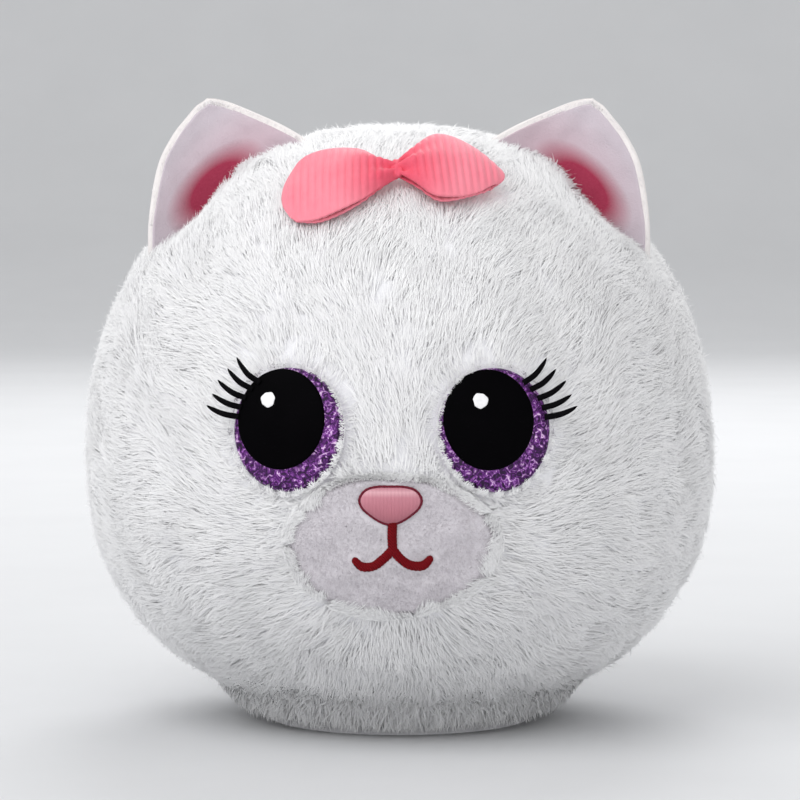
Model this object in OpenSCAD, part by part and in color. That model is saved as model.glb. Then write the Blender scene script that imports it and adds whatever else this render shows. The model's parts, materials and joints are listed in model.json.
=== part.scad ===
// Round plush cat with a hard electronics capsule inside.
// Frame: +Z up, the face looks along -Y, origin on the floor under the middle of the ball.

/* [Ball] */
// Width of the ball over the pile
ball_w = 160; // [156:0.5:166]
// Height of the widest level above the floor
waist_z = 65.7; // [65:0.1:68]
// Height of the crown above the widest level
crown_h = 85.2; // [84:0.1:88]
// Pile and backing of the fur cover together
cover_t = 10; // [9:0.5:10.5]

/* [Face] */
// Width of each eye
eye_w = 27; // [24:0.5:28]
// Height of each eye
eye_h = 29.2; // [26:0.1:30]
// Distance of each eye from the middle of the face
eye_x = 25; // [23:0.5:27]
// Height of the eyes above the floor
eye_z = 78.8; // [76:0.1:81]
// Width of the muzzle patch
muzzle_w = 47.4; // [42:0.2:50]
// Height of the muzzle patch
muzzle_h = 33.8; // [30:0.2:36]

/* [Ears and bow] */
// Height of the ear tips above the floor
ear_tip_z = 156.8; // [150:0.1:160]
// Distance of each ear tip from the middle
ear_tip_x = 48.5; // [46:0.5:50]
// Length of each bow loop
bow_loop_l = 29; // [24:0.5:32]
// Width of the bow ribbon
bow_ribbon_w = 21; // [18:0.5:23]

/* [Capsule] */
// Outer radius of the capsule at its parting line
capsule_r = 46; // [45:0.5:48]
// Height of the parting line
parting_z = 44; // [43:0.5:45]
// Height of the capsule's top pad
capsule_top_z = 110; // [109:0.5:111]
// Wall of the capsule
wall = 2; // [1.6:0.1:2.2]
// Radius of the exposed base plate
base_r = 33; // [32.5:0.1:34]

/* [Moving parts] */
// Travel of the pat button
pat_travel = 2; // [1.5:0.1:2.2]
// Travel of the power switch
switch_travel = 3; // [2:0.1:3]
// Radial clearance of shafts that turn or slide
running_gap = 0.05; // [0.02:0.01:0.1]

/* [Hidden] */
$fn = 64;

// Clearances: cut = past a face, air = between a soft part and a moving one.
cut = 1;
air = 0.3;

// The ball is a superellipse of revolution: a fuller crown over a flatter belly.
crown_n = 2.2;
belly_n = 2.25;
hem_r = 30.3;
hem_z = 3.3;
curve_steps = 9;

function lobe(r, h, n, t) = [r * pow(cos(t), 2 / n), h * pow(sin(t), 2 / n)];
function lobe_angle(r, n, x) = acos(pow(x / r, n / 2));

// Points from radius x up to the waist, then on to the pole, at a depth below the pile.
function belly_curve(depth, x) = let (
        r = ball_w / 2 - depth,
        h = waist_z - depth,
        last = lobe_angle(r, belly_n, x)
    ) [for (i = [curve_steps : -1 : 1]) let (p = lobe(r, h, belly_n, last * i / curve_steps))
        [p[0], waist_z - p[1]]];
function crown_curve(depth) = let (r = ball_w / 2 - depth, h = crown_h - depth)
    [for (i = [0 : curve_steps]) let (p = lobe(r, h, crown_n, 90 * i / curve_steps))
        [i == curve_steps ? 0 : p[0], waist_z + p[1]]];
function reversed(list) = [for (i = [len(list) - 1 : -1 : 0]) list[i]];

// Places a part on the ball's surface, with its own +Z pointing straight out of the fur.
module on_ball(p, tilt, turn) {
    translate(p) rotate([90 - tilt, 0, turn]) children();
}

// ---- Capsule profile ----
neck_r = 30;
neck_top = 14;
base_t = 3;
flare = [[38, 21], [44, 32]];
dome_n = 2.3;
dome_steps = 7;
pad_r = 10;

function dome_curve(out) = let (
        r = capsule_r + out,
        h = capsule_top_z - parting_z - 0.6 + out,
        last = lobe_angle(r, dome_n, pad_r)
    ) [for (i = [0 : dome_steps]) let (p = lobe(r, h, dome_n, last * i / dome_steps))
        [p[0], parting_z + p[1]]];
function lower_curve(out) = concat(
    [[neck_r + out, base_t], [neck_r + out, neck_top]],
    [for (p = flare) [p[0] + out, p[1]]],
    [[capsule_r + out, parting_z]]
);

// ---- Soft cover ----
front_half = 50;

// One panel of the cover, centred on a direction turned from the front.
module gore(turn, half) {
    rotate([0, 0, turn - 90 - half]) rotate_extrude(angle = 2 * half) polygon(concat(
        [[hem_r, hem_z], [base_r, hem_z]],
        belly_curve(0, base_r + 0.5),
        crown_curve(0),
        reversed(crown_curve(cover_t)),
        reversed(belly_curve(cover_t, hem_r))
    ));
}

// The tunnel in the hem, and the tie that draws it into the neck groove.
tie_r = 31.6;
tie_wire = 0.9;
tie_z = 6.5;
module hem_ring(r) {
    translate([0, 0, tie_z]) rotate_extrude() translate([tie_r, 0]) circle(r = r);
}
module collar_tie() {
    color([0.93, 0.93, 0.9]) hem_ring(tie_wire);
}

module cover_front() {
    color([0.95, 0.95, 0.95]) difference() {
        gore(0, front_half);
        hem_ring(tie_wire);
        for (side = [-1, 1]) {
            eye_frame(side) eye_pocket();
        }
        muzzle_block(muzzle_depth);
    }
}
module cover_left() {
    color([0.94, 0.94, 0.95]) difference() {
        gore(-90, 90 - front_half);
        hem_ring(tie_wire);
    }
}
module cover_right() {
    color([0.94, 0.94, 0.95]) difference() {
        gore(90, 90 - front_half);
        hem_ring(tie_wire);
    }
}
module cover_back() {
    color([0.93, 0.93, 0.94]) difference() {
        gore(180, front_half);
        hem_ring(tie_wire);
    }
}

// Loose fibre between the cover and the capsule, with room for the pat button.
button_disc_r = 20;
button_disc_t = 2.5;
button_z = 118;
module fibre_stuffing() {
    gap = 0.2;
    color([0.98, 0.98, 0.96]) difference() {
        rotate_extrude() polygon(concat(
            [[neck_r + air, neck_top]],
            [for (p = flare) [p[0] + air, p[1]]],
            dome_curve(air),
            [[pad_r, capsule_top_z + air], [0, capsule_top_z + air]],
            reversed(crown_curve(cover_t + gap)),
            reversed(belly_curve(cover_t + gap, neck_r + 1.2))
        ));
        translate([0, 0, capsule_top_z - 8])
            cylinder(r = button_disc_r + 0.6, h = button_z + button_disc_t + air - capsule_top_z + 8);
        for (side = [-1, 1]) {
            eye_frame(side) translate([0, 0, washer_z - 4]) cylinder(r = washer_r + 0.4, h = 9);
        }
    }
}

// ---- Eyes ----
eye_tilt = 5.5;
eye_turn = 18.4;
eye_y = -75.4;
eye_back = 4;
eye_dome_r = 60;
pupil_w = 22;
pupil_h = 23.7;
pupil_shift_left = [-1.1, 2.4];
pupil_shift_right = [-2, 2.4];
pupil_depth = 1.2;
shank_r = 2.5;
washer_r = 9;
washer_t = 1.2;
washer_z = -12.1;

module eye_frame(side) {
    on_ball([side * eye_x, eye_y, eye_z], eye_tilt, side * eye_turn) children();
}
module oval(w, h, z0, z1) {
    translate([0, 0, z0]) linear_extrude(height = z1 - z0) scale([w / h, 1]) circle(d = h);
}
// A shallow dome whose top stands at a height above the eye's own plane.
module dome_cap(top) {
    translate([0, 0, top - eye_dome_r]) sphere(r = eye_dome_r, $fn = 240);
}
module eye_pocket() {
    oval(eye_w, eye_h, -eye_back, 12);
    translate([0, 0, -16]) cylinder(r = shank_r, h = 16);
}
module pupil_plug(side, w, h, z0, z1) {
    translate(side < 0 ? pupil_shift_left : pupil_shift_right) oval(w, h, z0, z1);
}
module eye_disc(side) {
    color([0.45, 0.16, 0.52]) eye_frame(side) difference() {
        union() {
            intersection() {
                oval(eye_w, eye_h, -eye_back, 3);
                dome_cap(0.6);
            }
            translate([0, 0, washer_z - 1.5]) cylinder(r = shank_r, h = -eye_back - washer_z + 2);
        }
        pupil_plug(side, pupil_w, pupil_h, -pupil_depth, 4);
    }
}
module pupil(side) {
    color([0.03, 0.03, 0.04]) eye_frame(side) difference() {
        intersection() {
            pupil_plug(side, pupil_w, pupil_h, -pupil_depth, 3);
            dome_cap(1.2);
        }
        translate(glint_at) cylinder(r = glint_r, h = 6);
    }
}
glint_r = 1.8;
glint_at = [-4.2, 6.9, -0.2];
module glint(side) {
    color([0.95, 0.95, 0.95]) eye_frame(side) intersection() {
        translate(glint_at) cylinder(r = glint_r, h = 3);
        dome_cap(1.3);
    }
}
module eye_washer(side) {
    color([0.9, 0.9, 0.88]) eye_frame(side) translate([0, 0, washer_z]) difference() {
        cylinder(r = washer_r, h = washer_t);
        translate([0, 0, -cut]) cylinder(r = shank_r, h = washer_t + 2 * cut);
    }
}
module left_eye() { eye_disc(-1); }
module right_eye() { eye_disc(1); }
module left_pupil() { pupil(-1); }
module right_pupil() { pupil(1); }
module left_eye_glint() { glint(-1); }
module right_eye_glint() { glint(1); }
module left_eye_washer() { eye_washer(-1); }
module right_eye_washer() { eye_washer(1); }

// ---- Lashes: five curved hairs on a strip beside the outer corner of each eye ----
lash_r = 0.6;
lash_bend = 16;
lash_angles = [12, 22, 33, 45, 56];
lash_lengths = [6, 5.5, 5.8, 5.5, 5.9];
lash_z = 1.4;
// Each hair leaves its root nearly level and curls up toward its tip.
module lash(angle, length) {
    sweep = length / lash_bend * 180 / PI;
    start = 0.68 * angle - 4.5;
    translate([(eye_w / 2 + 0.5) * cos(angle), (eye_h / 2 + 0.5) * sin(angle), lash_z])
        rotate([0, 0, start - 90]) translate([-lash_bend, 0, 0])
            rotate_extrude(angle = sweep) translate([lash_bend, 0]) circle(r = lash_r);
}
module lashes(side) {
    color([0.04, 0.04, 0.04]) eye_frame(side) mirror([side < 0 ? 1 : 0, 0, 0]) {
        for (i = [0 : len(lash_angles) - 1]) {
            lash(lash_angles[i], lash_lengths[i]);
        }
        rotate([0, 0, lash_angles[0] - 4]) translate([0, 0, lash_z])
            rotate_extrude(angle = lash_angles[4] - lash_angles[0] + 8)
                translate([eye_w / 2 + 0.75, 0]) square([1, 1], center = true);
    }
}
module left_lashes() { lashes(-1); }
module right_lashes() { lashes(1); }

// ---- Muzzle, nose and mouth ----
muzzle_z = 51.3;
muzzle_depth = 4;
muzzle_front = 0.6;
stitch_h = 0.8;
nose_z = 61.3;
nose_w = 14.4;
nose_h = 8.8;
mouth_w = 18;
mouth_z = 50.6;
mouth_line = 2.2;

// The ball itself, sunk or grown by a depth below the pile.
module ball(depth) {
    rotate_extrude() polygon(concat(
        [[0, hem_z], [base_r, hem_z]],
        belly_curve(depth, base_r + 0.5),
        crown_curve(depth)
    ));
}
// A prism through the front of the face, from a flat outline in X and Z.
module face_prism(z) {
    translate([0, -60, z]) rotate([90, 0, 0]) linear_extrude(height = 30) children();
}
module muzzle_block(deep) {
    difference() {
        face_prism(muzzle_z) scale([muzzle_w / muzzle_h, 1]) circle(d = muzzle_h);
        ball(deep);
    }
}
module muzzle_patch() {
    color([0.86, 0.83, 0.88]) intersection() {
        muzzle_block(muzzle_depth);
        ball(muzzle_front);
    }
}
// Rounded triangle, point down.
module nose_outline() {
    hull() {
        for (s = [-1, 1]) {
            translate([s * (nose_w / 2 - 2.2), nose_h / 2 - 2.2]) circle(r = 2.2, $fn = 32);
        }
        translate([0, 1.6 - nose_h / 2]) circle(r = 1.6, $fn = 32);
    }
}
module nose_patch() {
    color([0.9, 0.52, 0.6]) intersection() {
        difference() {
            face_prism(nose_z) nose_outline();
            ball(muzzle_front);
        }
        ball(muzzle_front - stitch_h);
    }
}
// A stem with two upturned arcs below it.
module mouth_outline() {
    arc_r = mouth_w / 4;
    stem_top = nose_z - nose_h / 2 - mouth_z;
    translate([-mouth_line / 2, 0]) square([mouth_line, stem_top]);
    for (s = [-1, 1]) {
        translate([s * (arc_r - mouth_line / 4), 0.4]) difference() {
            circle(r = arc_r + mouth_line / 2);
            circle(r = arc_r - mouth_line / 2);
            translate([-mouth_w, 0]) square([2 * mouth_w, mouth_w]);
        }
    }
}
module mouth_stitching() {
    color([0.5, 0.06, 0.08]) intersection() {
        difference() {
            face_prism(mouth_z) mouth_outline();
            ball(muzzle_front);
        }
        ball(muzzle_front - stitch_h);
    }
}

// ---- Ears: a back and a lining, cupped toward the front ----
ear_y = -9;
ear_t = 1.8;
ear_cup_r = 34;
ear_lean = 6;
function bend(a, b, c, t) = (1 - t) * (1 - t) * a + 2 * t * (1 - t) * b + t * t * c;
function bend_run(a, b, c) = [for (t = [0 : 0.2 : 1]) bend(a, b, c, t)];
// Outline in X and Z: up the outer edge, round the tip, down the inner edge, under the fur.
module ear_outline() {
    tip = [ear_tip_x, ear_tip_z];
    polygon(concat(
        bend_run([62, 112], [63, 141], tip + [5, -5.5]),
        bend_run(tip + [4.2, -3.4], tip + [1.2, 0.6], tip + [-4, -0.3]),
        bend_run(tip + [-5.5, -0.9], tip + [-14, -3.2], [20, 145]),
        [[18, 132]]
    ));
}
module ear_shell(inner, thick, side) {
    mirror([side < 0 ? 1 : 0, 0, 0]) difference() {
        intersection() {
            translate([0, 30, 0]) rotate([90, 0, 0]) linear_extrude(height = 70) ear_outline();
            translate([44, ear_y - ear_cup_r, 100]) rotate([-ear_lean, 0, 0]) difference() {
                cylinder(r = inner + thick, h = 80);
                translate([0, 0, -cut]) cylinder(r = inner, h = 80 + 2 * cut);
                translate([-80, -80 + 8, -cut]) cube([160, 80, 80 + 2 * cut]);
            }
        }
        ball(0);
    }
}
module left_ear_back() { color([0.94, 0.92, 0.94]) ear_shell(ear_cup_r, ear_t, -1); }
module right_ear_back() { color([0.94, 0.92, 0.94]) ear_shell(ear_cup_r, ear_t, 1); }
module left_ear_lining() { color([0.85, 0.6, 0.66]) ear_shell(ear_cup_r - ear_t, ear_t, -1); }
module right_ear_lining() { color([0.85, 0.6, 0.66]) ear_shell(ear_cup_r - ear_t, ear_t, 1); }

// ---- Bow: two ribbon loops and the knot between them ----
bow_at = [0.7, -49.5, 139.5];
bow_tilt = 46;
bow_roll = 5;
bow_t = 5;
knot_r = 5;
module bow_frame() {
    translate(bow_at) rotate([90 - bow_tilt, 0, 0]) rotate([0, 0, bow_roll]) children();
}
module bow_loop(side) {
    color([1, 0.58, 0.65]) difference() {
        bow_frame() difference() {
            linear_extrude(height = bow_t) hull() {
                translate([side * (bow_loop_l - bow_ribbon_w * 0.36), 0])
                    scale([0.72, 1]) circle(d = bow_ribbon_w, $fn = 48);
                translate([side * 3, 0]) circle(r = 4, $fn = 32);
            }
            translate([0, 0, -cut]) cylinder(r = knot_r, h = bow_t + 2 * cut);
        }
        ball(0);
    }
}
module bow_left_loop() { bow_loop(-1); }
module bow_right_loop() { bow_loop(1); }
module bow_knot() {
    color([0.98, 0.5, 0.58]) difference() {
        bow_frame() cylinder(r = knot_r, h = bow_t - 0.5);
        ball(0);
    }
}

// ---- Base plate, battery bay and door ----
door_l = 52;
door_w = 25;
door_t = 1.8;
door_z = 0.3;
door_gap = 0.2;
door_ear_y = -15.5;
door_ear_r = 4.5;
ledge_z = 2.2;
bay_l = 50;
bay_w = 23;
bay_top = 16;
bay_wall = 0.8;
screw_boss_r = 3.6;
base_screw_at = 18;
switch_y = 19;
switch_slot = [8, 4];

module door_outline(grow) {
    square([door_l + 2 * grow, door_w + 2 * grow], center = true);
    translate([0, door_ear_y]) circle(r = door_ear_r + grow);
}
module at_base_screws() {
    for (x = [-1, 1], y = [-1, 1]) {
        translate([x * base_screw_at, y * base_screw_at, 0]) children();
    }
}
module base_plate() {
    color([0.9, 0.9, 0.91]) difference() {
        union() {
            cylinder(r = base_r, h = base_t);
            intersection() {
                translate([0, 0, bay_top / 2])
                    cube([bay_l + 2 * bay_wall, bay_w + 2 * bay_wall, bay_top], center = true);
                cylinder(r = neck_r - wall, h = bay_top);
            }
            translate([0, door_ear_y, 0]) cylinder(r = screw_boss_r, h = 10);
            for (x = [-1, 1]) {
                translate([x * board_rest_x, 0, (bay_top + board_z) / 2])
                    cube([board_rest_w, 16, board_z - bay_top], center = true);
            }
        }
        translate([0, 0, -cut]) linear_extrude(height = ledge_z + cut) door_outline(door_gap);
        translate([0, 0, bay_top / 2]) cube([bay_l, bay_w, bay_top + 2 * cut], center = true);
        translate([0, door_ear_y, 0]) cylinder(r = door_thread_r, h = 9);
        translate([0, switch_y, base_t / 2])
            cube([switch_slot[0], switch_slot[1], base_t + 2 * cut], center = true);
        at_base_screws() {
            translate([0, 0, -cut]) cylinder(r = base_head_r, h = base_head_t + cut);
            cylinder(r = base_shank_r, h = base_t + cut);
        }
        for (x = [-1, 1]) {
            translate([x * board_rest_x, 0, board_z - 5]) cylinder(r = board_shank_r, h = 5 + cut);
        }
    }
}
base_head_r = 2.3;
base_head_t = 1.4;
base_shank_r = 1.3;
base_screw_l = 9;
module cross_slot(r, deep) {
    translate([0, 0, deep / 2]) {
        cube([1.5 * r, 0.3 * r, deep], center = true);
        cube([0.3 * r, 1.5 * r, deep], center = true);
    }
}
// A pan screw that points up, with its head's face at a height and a cross slot in it.
module screw_up(z, head_r, head_t, shank_r, length) {
    translate([0, 0, z]) difference() {
        union() {
            cylinder(r = head_r, h = head_t);
            cylinder(r = shank_r, h = length);
        }
        translate([0, 0, -0.01]) cross_slot(head_r, head_t * 0.6);
    }
}
module base_screws() {
    color([0.7, 0.7, 0.72]) at_base_screws()
        screw_up(0.2, base_head_r, base_head_t - 0.2, base_shank_r, base_screw_l);
}

door_thread_r = 1.3;
door_head_r = 2.2;
door_head_t = 1;
module battery_door() {
    color([0.88, 0.88, 0.9]) translate([0, 0, door_z]) difference() {
        linear_extrude(height = door_t) door_outline(0);
        translate([0, door_ear_y, -cut]) cylinder(r = door_thread_r + 0.1, h = door_t + 2 * cut);
        translate([0, door_ear_y, -cut]) cylinder(r = door_head_r + 0.1, h = door_head_t + cut);
        for (x = [-1, 0, 1]) {
            translate([x * 4 + 17, 0, 0.2]) cube([1.2, 12, 0.6], center = true);
        }
    }
}
module door_screw() {
    color([0.7, 0.7, 0.72]) translate([0, door_ear_y, 0])
        screw_up(door_z + 0.1, door_head_r, door_head_t - 0.15, door_thread_r - running_gap, 7);
}

// ---- Cells and contacts ----
cell_r = 5.25;
cell_l = 44.5;
cell_y = 5.6;
cell_z = 8.2;
cell_tip_l = 1;
contact_t = 0.4;
contact_h = 10;
contact_low = 4.5;
link_w = bay_w - 2;
tab_w = 9;
coil_wire = 0.3;
module cell(side) {
    translate([0, side * cell_y, cell_z]) rotate([0, side * 90, 0]) {
        translate([0, 0, -cell_l / 2]) cylinder(r = cell_r, h = cell_l - cell_tip_l);
        translate([0, 0, cell_l / 2 - cell_tip_l]) cylinder(r = 1.9, h = cell_tip_l);
    }
}
module battery_cells() {
    color([0.25, 0.27, 0.3]) {
        cell(-1);
        cell(1);
    }
}
contact_x = bay_l / 2 - contact_t;
module contact_plate(x, y, w) {
    translate([x > 0 ? x : x - contact_t, y - w / 2, cell_z - contact_low]) cube([contact_t, w, contact_h]);
}
module button_bump(x, y) {
    reach = contact_x - cell_l / 2;
    translate([x > 0 ? x - reach : x, y, cell_z]) rotate([0, 90, 0]) cylinder(r = 1.6, h = reach);
}
module battery_contacts() {
    color([0.8, 0.78, 0.7]) {
        contact_plate(contact_x, 0, link_w);
        contact_plate(-contact_x, -cell_y, tab_w);
        contact_plate(-contact_x, cell_y, tab_w);
        button_bump(contact_x, cell_y);
        button_bump(-contact_x, -cell_y);
    }
}
// Round wire wound round +Z: rings of points along the helix, joined into one closed skin.
module coil(r, wire, height, turns, sides, per_turn) {
    steps = turns * per_turn;
    rise = height - 2 * wire;
    ring = [for (j = [0 : sides - 1]) [wire * cos(360 * j / sides), wire * sin(360 * j / sides)]];
    points = [for (i = [0 : steps]) let (a = 360 * i / per_turn, z = wire + rise * i / steps)
        for (p = ring) [(r + p[0]) * cos(a), (r + p[0]) * sin(a), z + p[1]]];
    skin = [for (i = [0 : steps - 1]) for (j = [0 : sides - 1]) let (k = (j + 1) % sides)
        [i * sides + j, (i + 1) * sides + j, (i + 1) * sides + k, i * sides + k]];
    polyhedron(points = points, faces = concat(
        skin,
        [[for (j = [0 : sides - 1]) j]],
        [[for (j = [sides - 1 : -1 : 0]) steps * sides + j]]
    ), convexity = 10);
}
module battery_springs() {
    reach = contact_x - cell_l / 2;
    color([0.8, 0.78, 0.7]) for (s = [-1, 1]) {
        translate([-s * (cell_l / 2 + 0.02), -s * -cell_y, cell_z]) rotate([0, -s * 90, 0])
            coil(3, coil_wire, reach - 0.04, 3, 6, 14);
    }
}

// ---- Power switch ----
knob_z = 0.6;
knob_size = [4, 3.4];
module power_switch_body() {
    color([0.2, 0.2, 0.22]) translate([0, switch_y, base_t]) difference() {
        translate([-7, -3.4, 0]) cube([14, 6.8, 6]);
        translate([-switch_slot[0] / 2, -switch_slot[1] / 2, -cut])
            cube([switch_slot[0], switch_slot[1], 4.2 + cut]);
    }
}
module power_switch_knob() {
    color([0.12, 0.12, 0.13])
        translate([-switch_travel / 2 - knob_size[0] / 2, switch_y - knob_size[1] / 2, knob_z])
            cube([knob_size[0], knob_size[1], base_t + 4 - knob_z]);
}

// ---- Capsule ----
boss_r = 4;
boss_x = 28.5;
boss_y = 28.5;
boss_low = 34;
boss_high = 54;
cap_head_r = 2.6;
cap_head_t = 2;
cap_shank_r = 1.3;
cap_screw_l = 16;
grille_y = 38;
grille_z = 61;
grille_r = 18;
stem_r = 3;
stem_boss_r = 5.5;
stem_boss_z = 104;
switch_board_z = 94.5;
switch_board_t = 1.2;
switch_post_x = 11;

module at_capsule_screws() {
    for (x = [-1, 1], y = [-1, 1]) {
        translate([x * boss_x, y * boss_y, 0]) children();
    }
}
module lower_solid(out) {
    rotate_extrude() polygon(concat([[0, base_t]], lower_curve(out), [[0, parting_z]]));
}
module upper_solid(out) {
    rotate_extrude() polygon(concat(
        [[0, parting_z]],
        dome_curve(out),
        [[0, capsule_top_z - 0.6 + out]]
    ));
}
module capsule_lower() {
    color([0.92, 0.92, 0.93]) difference() {
        union() {
            difference() {
                lower_solid(0);
                rotate_extrude() polygon(concat(
                    [[0, base_t - cut], [neck_r - wall, base_t - cut]],
                    [[neck_r - wall, neck_top + 1]],
                    [for (p = flare) [p[0] - wall, p[1] + 0.6]],
                    [[capsule_r - wall, parting_z + 0.1], [0, parting_z + 0.1]]
                ));
            }
            intersection() {
                union() {
                    at_capsule_screws() translate([0, 0, 22]) cylinder(r = boss_r, h = parting_z - 22);
                    at_base_screws() translate([0, 0, base_t]) cylinder(r = 2.6, h = 9);
                    difference() {
                        translate([0, 0, chassis_z - 2]) cylinder(r = capsule_r - 1, h = 2);
                        translate([0, 0, chassis_z - 3]) cylinder(r = 41, h = 4);
                    }
                }
                lower_solid(-0.5);
            }
        }
        at_capsule_screws() {
            cylinder(r = cap_shank_r, h = parting_z + cut);
            cylinder(r = cap_head_r, h = boss_low);
        }
        at_base_screws() translate([0, 0, base_t - cut]) cylinder(r = base_shank_r, h = base_screw_l);
    }
}
module capsule_upper() {
    color([0.92, 0.92, 0.93]) difference() {
        union() {
            difference() {
                union() {
                    upper_solid(0);
                    cylinder_between(pad_r, capsule_top_z - 1.5, capsule_top_z);
                }
                translate([0, 0, -0.01]) upper_solid(-wall);
            }
            intersection() {
                union() {
                    at_capsule_screws() cylinder_between(boss_r, parting_z, boss_high);
                    cylinder_between(stem_boss_r, stem_boss_z, capsule_top_z - 1);
                    for (x = [-1, 1]) {
                        translate([x * switch_post_x, 0, 0])
                            cylinder_between(2.4, switch_board_z + switch_board_t, capsule_top_z - 1);
                    }
                    translate([0, grille_y, grille_z]) rotate([-90, 0, 0])
                        cylinder(r = grille_r, h = 12);
                }
                upper_solid(-0.5);
            }
        }
        cylinder_between(stem_r + running_gap, stem_boss_z - cut, capsule_top_z + cut);
        at_capsule_screws() cylinder_between(cap_shank_r, parting_z - cut, boss_high - 1);
        for (x = [-1, 1]) {
            translate([x * switch_post_x, 0, 0])
                cylinder_between(board_shank_r, switch_board_z, switch_board_z + 6);
        }
        grille_holes();
    }
}
module cylinder_between(r, z0, z1) {
    translate([0, 0, z0]) cylinder(r = r, h = z1 - z0);
}
// Sound holes: one in the middle and two rings round it.
module grille_holes() {
    translate([0, grille_y - cut, grille_z]) rotate([-90, 0, 0]) {
        cylinder(r = 1.2, h = 14);
        for (ring = [1, 2], i = [0 : 6 * ring - 1]) {
            rotate([0, 0, i * 60 / ring]) translate([ring * 6, 0, 0]) cylinder(r = 1.2, h = 14);
        }
    }
}
module capsule_screws() {
    color([0.7, 0.7, 0.72]) at_capsule_screws()
        screw_up(boss_low - cap_head_t, cap_head_r - 0.2, cap_head_t, cap_shank_r, cap_screw_l);
}

// ---- Mainboard ----
board_z = 22;
board_t = 1.6;
board_rest_x = 24.4;
board_rest_w = 2.4;
board_shank_r = 0.8;
board_size = [56, 36];
module mainboard() {
    color([0.1, 0.4, 0.2]) translate([0, 0, board_z]) difference() {
        linear_extrude(height = board_t) square(board_size, center = true);
        for (x = [-1, 1]) {
            translate([x * board_rest_x, 0, -cut]) cylinder(r = board_shank_r + 0.2, h = board_t + 2 * cut);
        }
    }
}
module mainboard_components() {
    top = board_z + board_t;
    translate([0, 0, top]) {
        color([0.06, 0.06, 0.06]) intersection() {
            translate([-8, 4, -3.6]) sphere(r = 6);
            translate([-20, -8, 0]) cube([24, 24, 6]);
        }
        color([0.12, 0.12, 0.14]) translate([8, -10, 0]) cube([6, 5, 1.6]);
        color([0.2, 0.25, 0.5]) translate([14, 8, 0]) cylinder(r = 2.5, h = 7);
        color([0.2, 0.25, 0.5]) translate([4, 10, 0]) cylinder(r = 2, h = 5);
        color([0.9, 0.88, 0.8]) for (x = [-16, -6]) {
            translate([x, -15, 0]) cube([7, 4, 5]);
        }
        color([0.75, 0.6, 0.4]) for (i = [0 : 4]) {
            translate([-22 + 3 * i, -4, 0]) cube([1.6, 0.8, 0.5]);
        }
    }
}
module pan_screw_down(head_r, head_t, shank_r, length) {
    rotate([180, 0, 0]) screw_up(-head_t, head_r, head_t, shank_r, length + head_t);
}
module board_screws() {
    color([0.7, 0.7, 0.72]) {
        for (x = [-1, 1]) {
            translate([x * board_rest_x, 0, board_z + board_t])
                pan_screw_down(1.6, 1, board_shank_r, board_t + 4);
            translate([x * switch_post_x, 0, switch_board_z])
                mirror([0, 0, 1]) pan_screw_down(1.6, 1, board_shank_r, switch_board_t + 4);
        }
    }
}

// ---- Drive: motor, two gear stages and the off-centre weight ----
chassis_z = 42;
chassis_t = 2;
axis_z = 66;
idler_y = 12;
module_m = 0.5;
pinion_teeth = 12;
wheel_teeth = 36;
centre = module_m * (pinion_teeth + wheel_teeth) / 2;
motor_z = axis_z + centre;
plate_x = [-8, 5];
plate_t = [2, 1.5];
shaft_r = 1.5;
axle_r = 1;
pressure = 20;
backlash = 0.55;

// Involute tooth: half its angular width at a radius, for a gear with a number of teeth.
function inv(a) = tan(a) * 180 / PI - a;
function half_tooth(teeth, r) = let (
        pitch_r = module_m * teeth / 2,
        base = pitch_r * cos(pressure),
        a = r > base ? acos(base / r) : 0
    ) 90 / teeth - backlash + inv(pressure) - inv(a);
module gear_outline(teeth) {
    pitch_r = module_m * teeth / 2;
    root_r = pitch_r - 1.2 * module_m;
    tip_r = pitch_r + 0.85 * module_m;
    base = pitch_r * cos(pressure);
    rise = [for (k = [0 : 4]) max(base, root_r) + (tip_r - max(base, root_r)) * k / 4];
    flank = concat([[root_r, half_tooth(teeth, base)]], [for (r = rise) [r, half_tooth(teeth, r)]]);
    polygon([for (i = [0 : teeth - 1]) let (c = 360 * i / teeth)
        for (p = concat(
            [for (f = flank) [f[0], c - f[1]]],
            [for (f = reversed(flank)) [f[0], c + f[1]]]
        )) [p[0] * cos(p[1]), p[0] * sin(p[1])]
    ]);
}
// Turns a part whose axis is +Z so that it lies along +X from a start, at a place in Y and Z.
module along_x(x, y, z) {
    translate([x, y, z]) rotate([90, 0, 90]) children();
}
module chassis() {
    color([0.3, 0.32, 0.35]) difference() {
        union() {
            difference() {
                cylinder_between(capsule_r - wall - 0.4, chassis_z, chassis_z + chassis_t);
                at_capsule_screws() cylinder_between(boss_r + 0.3, chassis_z - cut, chassis_z + 4);
                translate([-24, -14, chassis_z - cut]) cylinder(r = 6, h = chassis_t + 2 * cut);
                translate([20, -8, chassis_z - cut]) cylinder(r = 4, h = chassis_t + 2 * cut);
            }
            translate([plate_x[0], -13, chassis_z]) cube([plate_t[0], 34, 88 - chassis_z]);
            for (y = [-11, 19]) {
                along_x(plate_x[0], y, chassis_z + 8) cylinder(r = 2.2, h = plate_x[1] - plate_x[0]);
            }
            along_x(plate_x[0], -10, 84) cylinder(r = 2.2, h = plate_x[1] - plate_x[0]);
        }
        along_x(plate_x[0] - cut, 0, axis_z) cylinder(r = shaft_r + running_gap, h = 8);
        along_x(plate_x[0] - cut, idler_y, axis_z) cylinder(r = axle_r, h = 8);
        along_x(plate_x[0] - cut, idler_y, motor_z) cylinder(r = 3.2, h = 8);
        for (p = [[-11, chassis_z + 8], [19, chassis_z + 8], [-10, 84]]) {
            along_x(plate_x[1] - 7, p[0], p[1]) cylinder(r = board_shank_r, h = 8);
        }
    }
}
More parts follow.
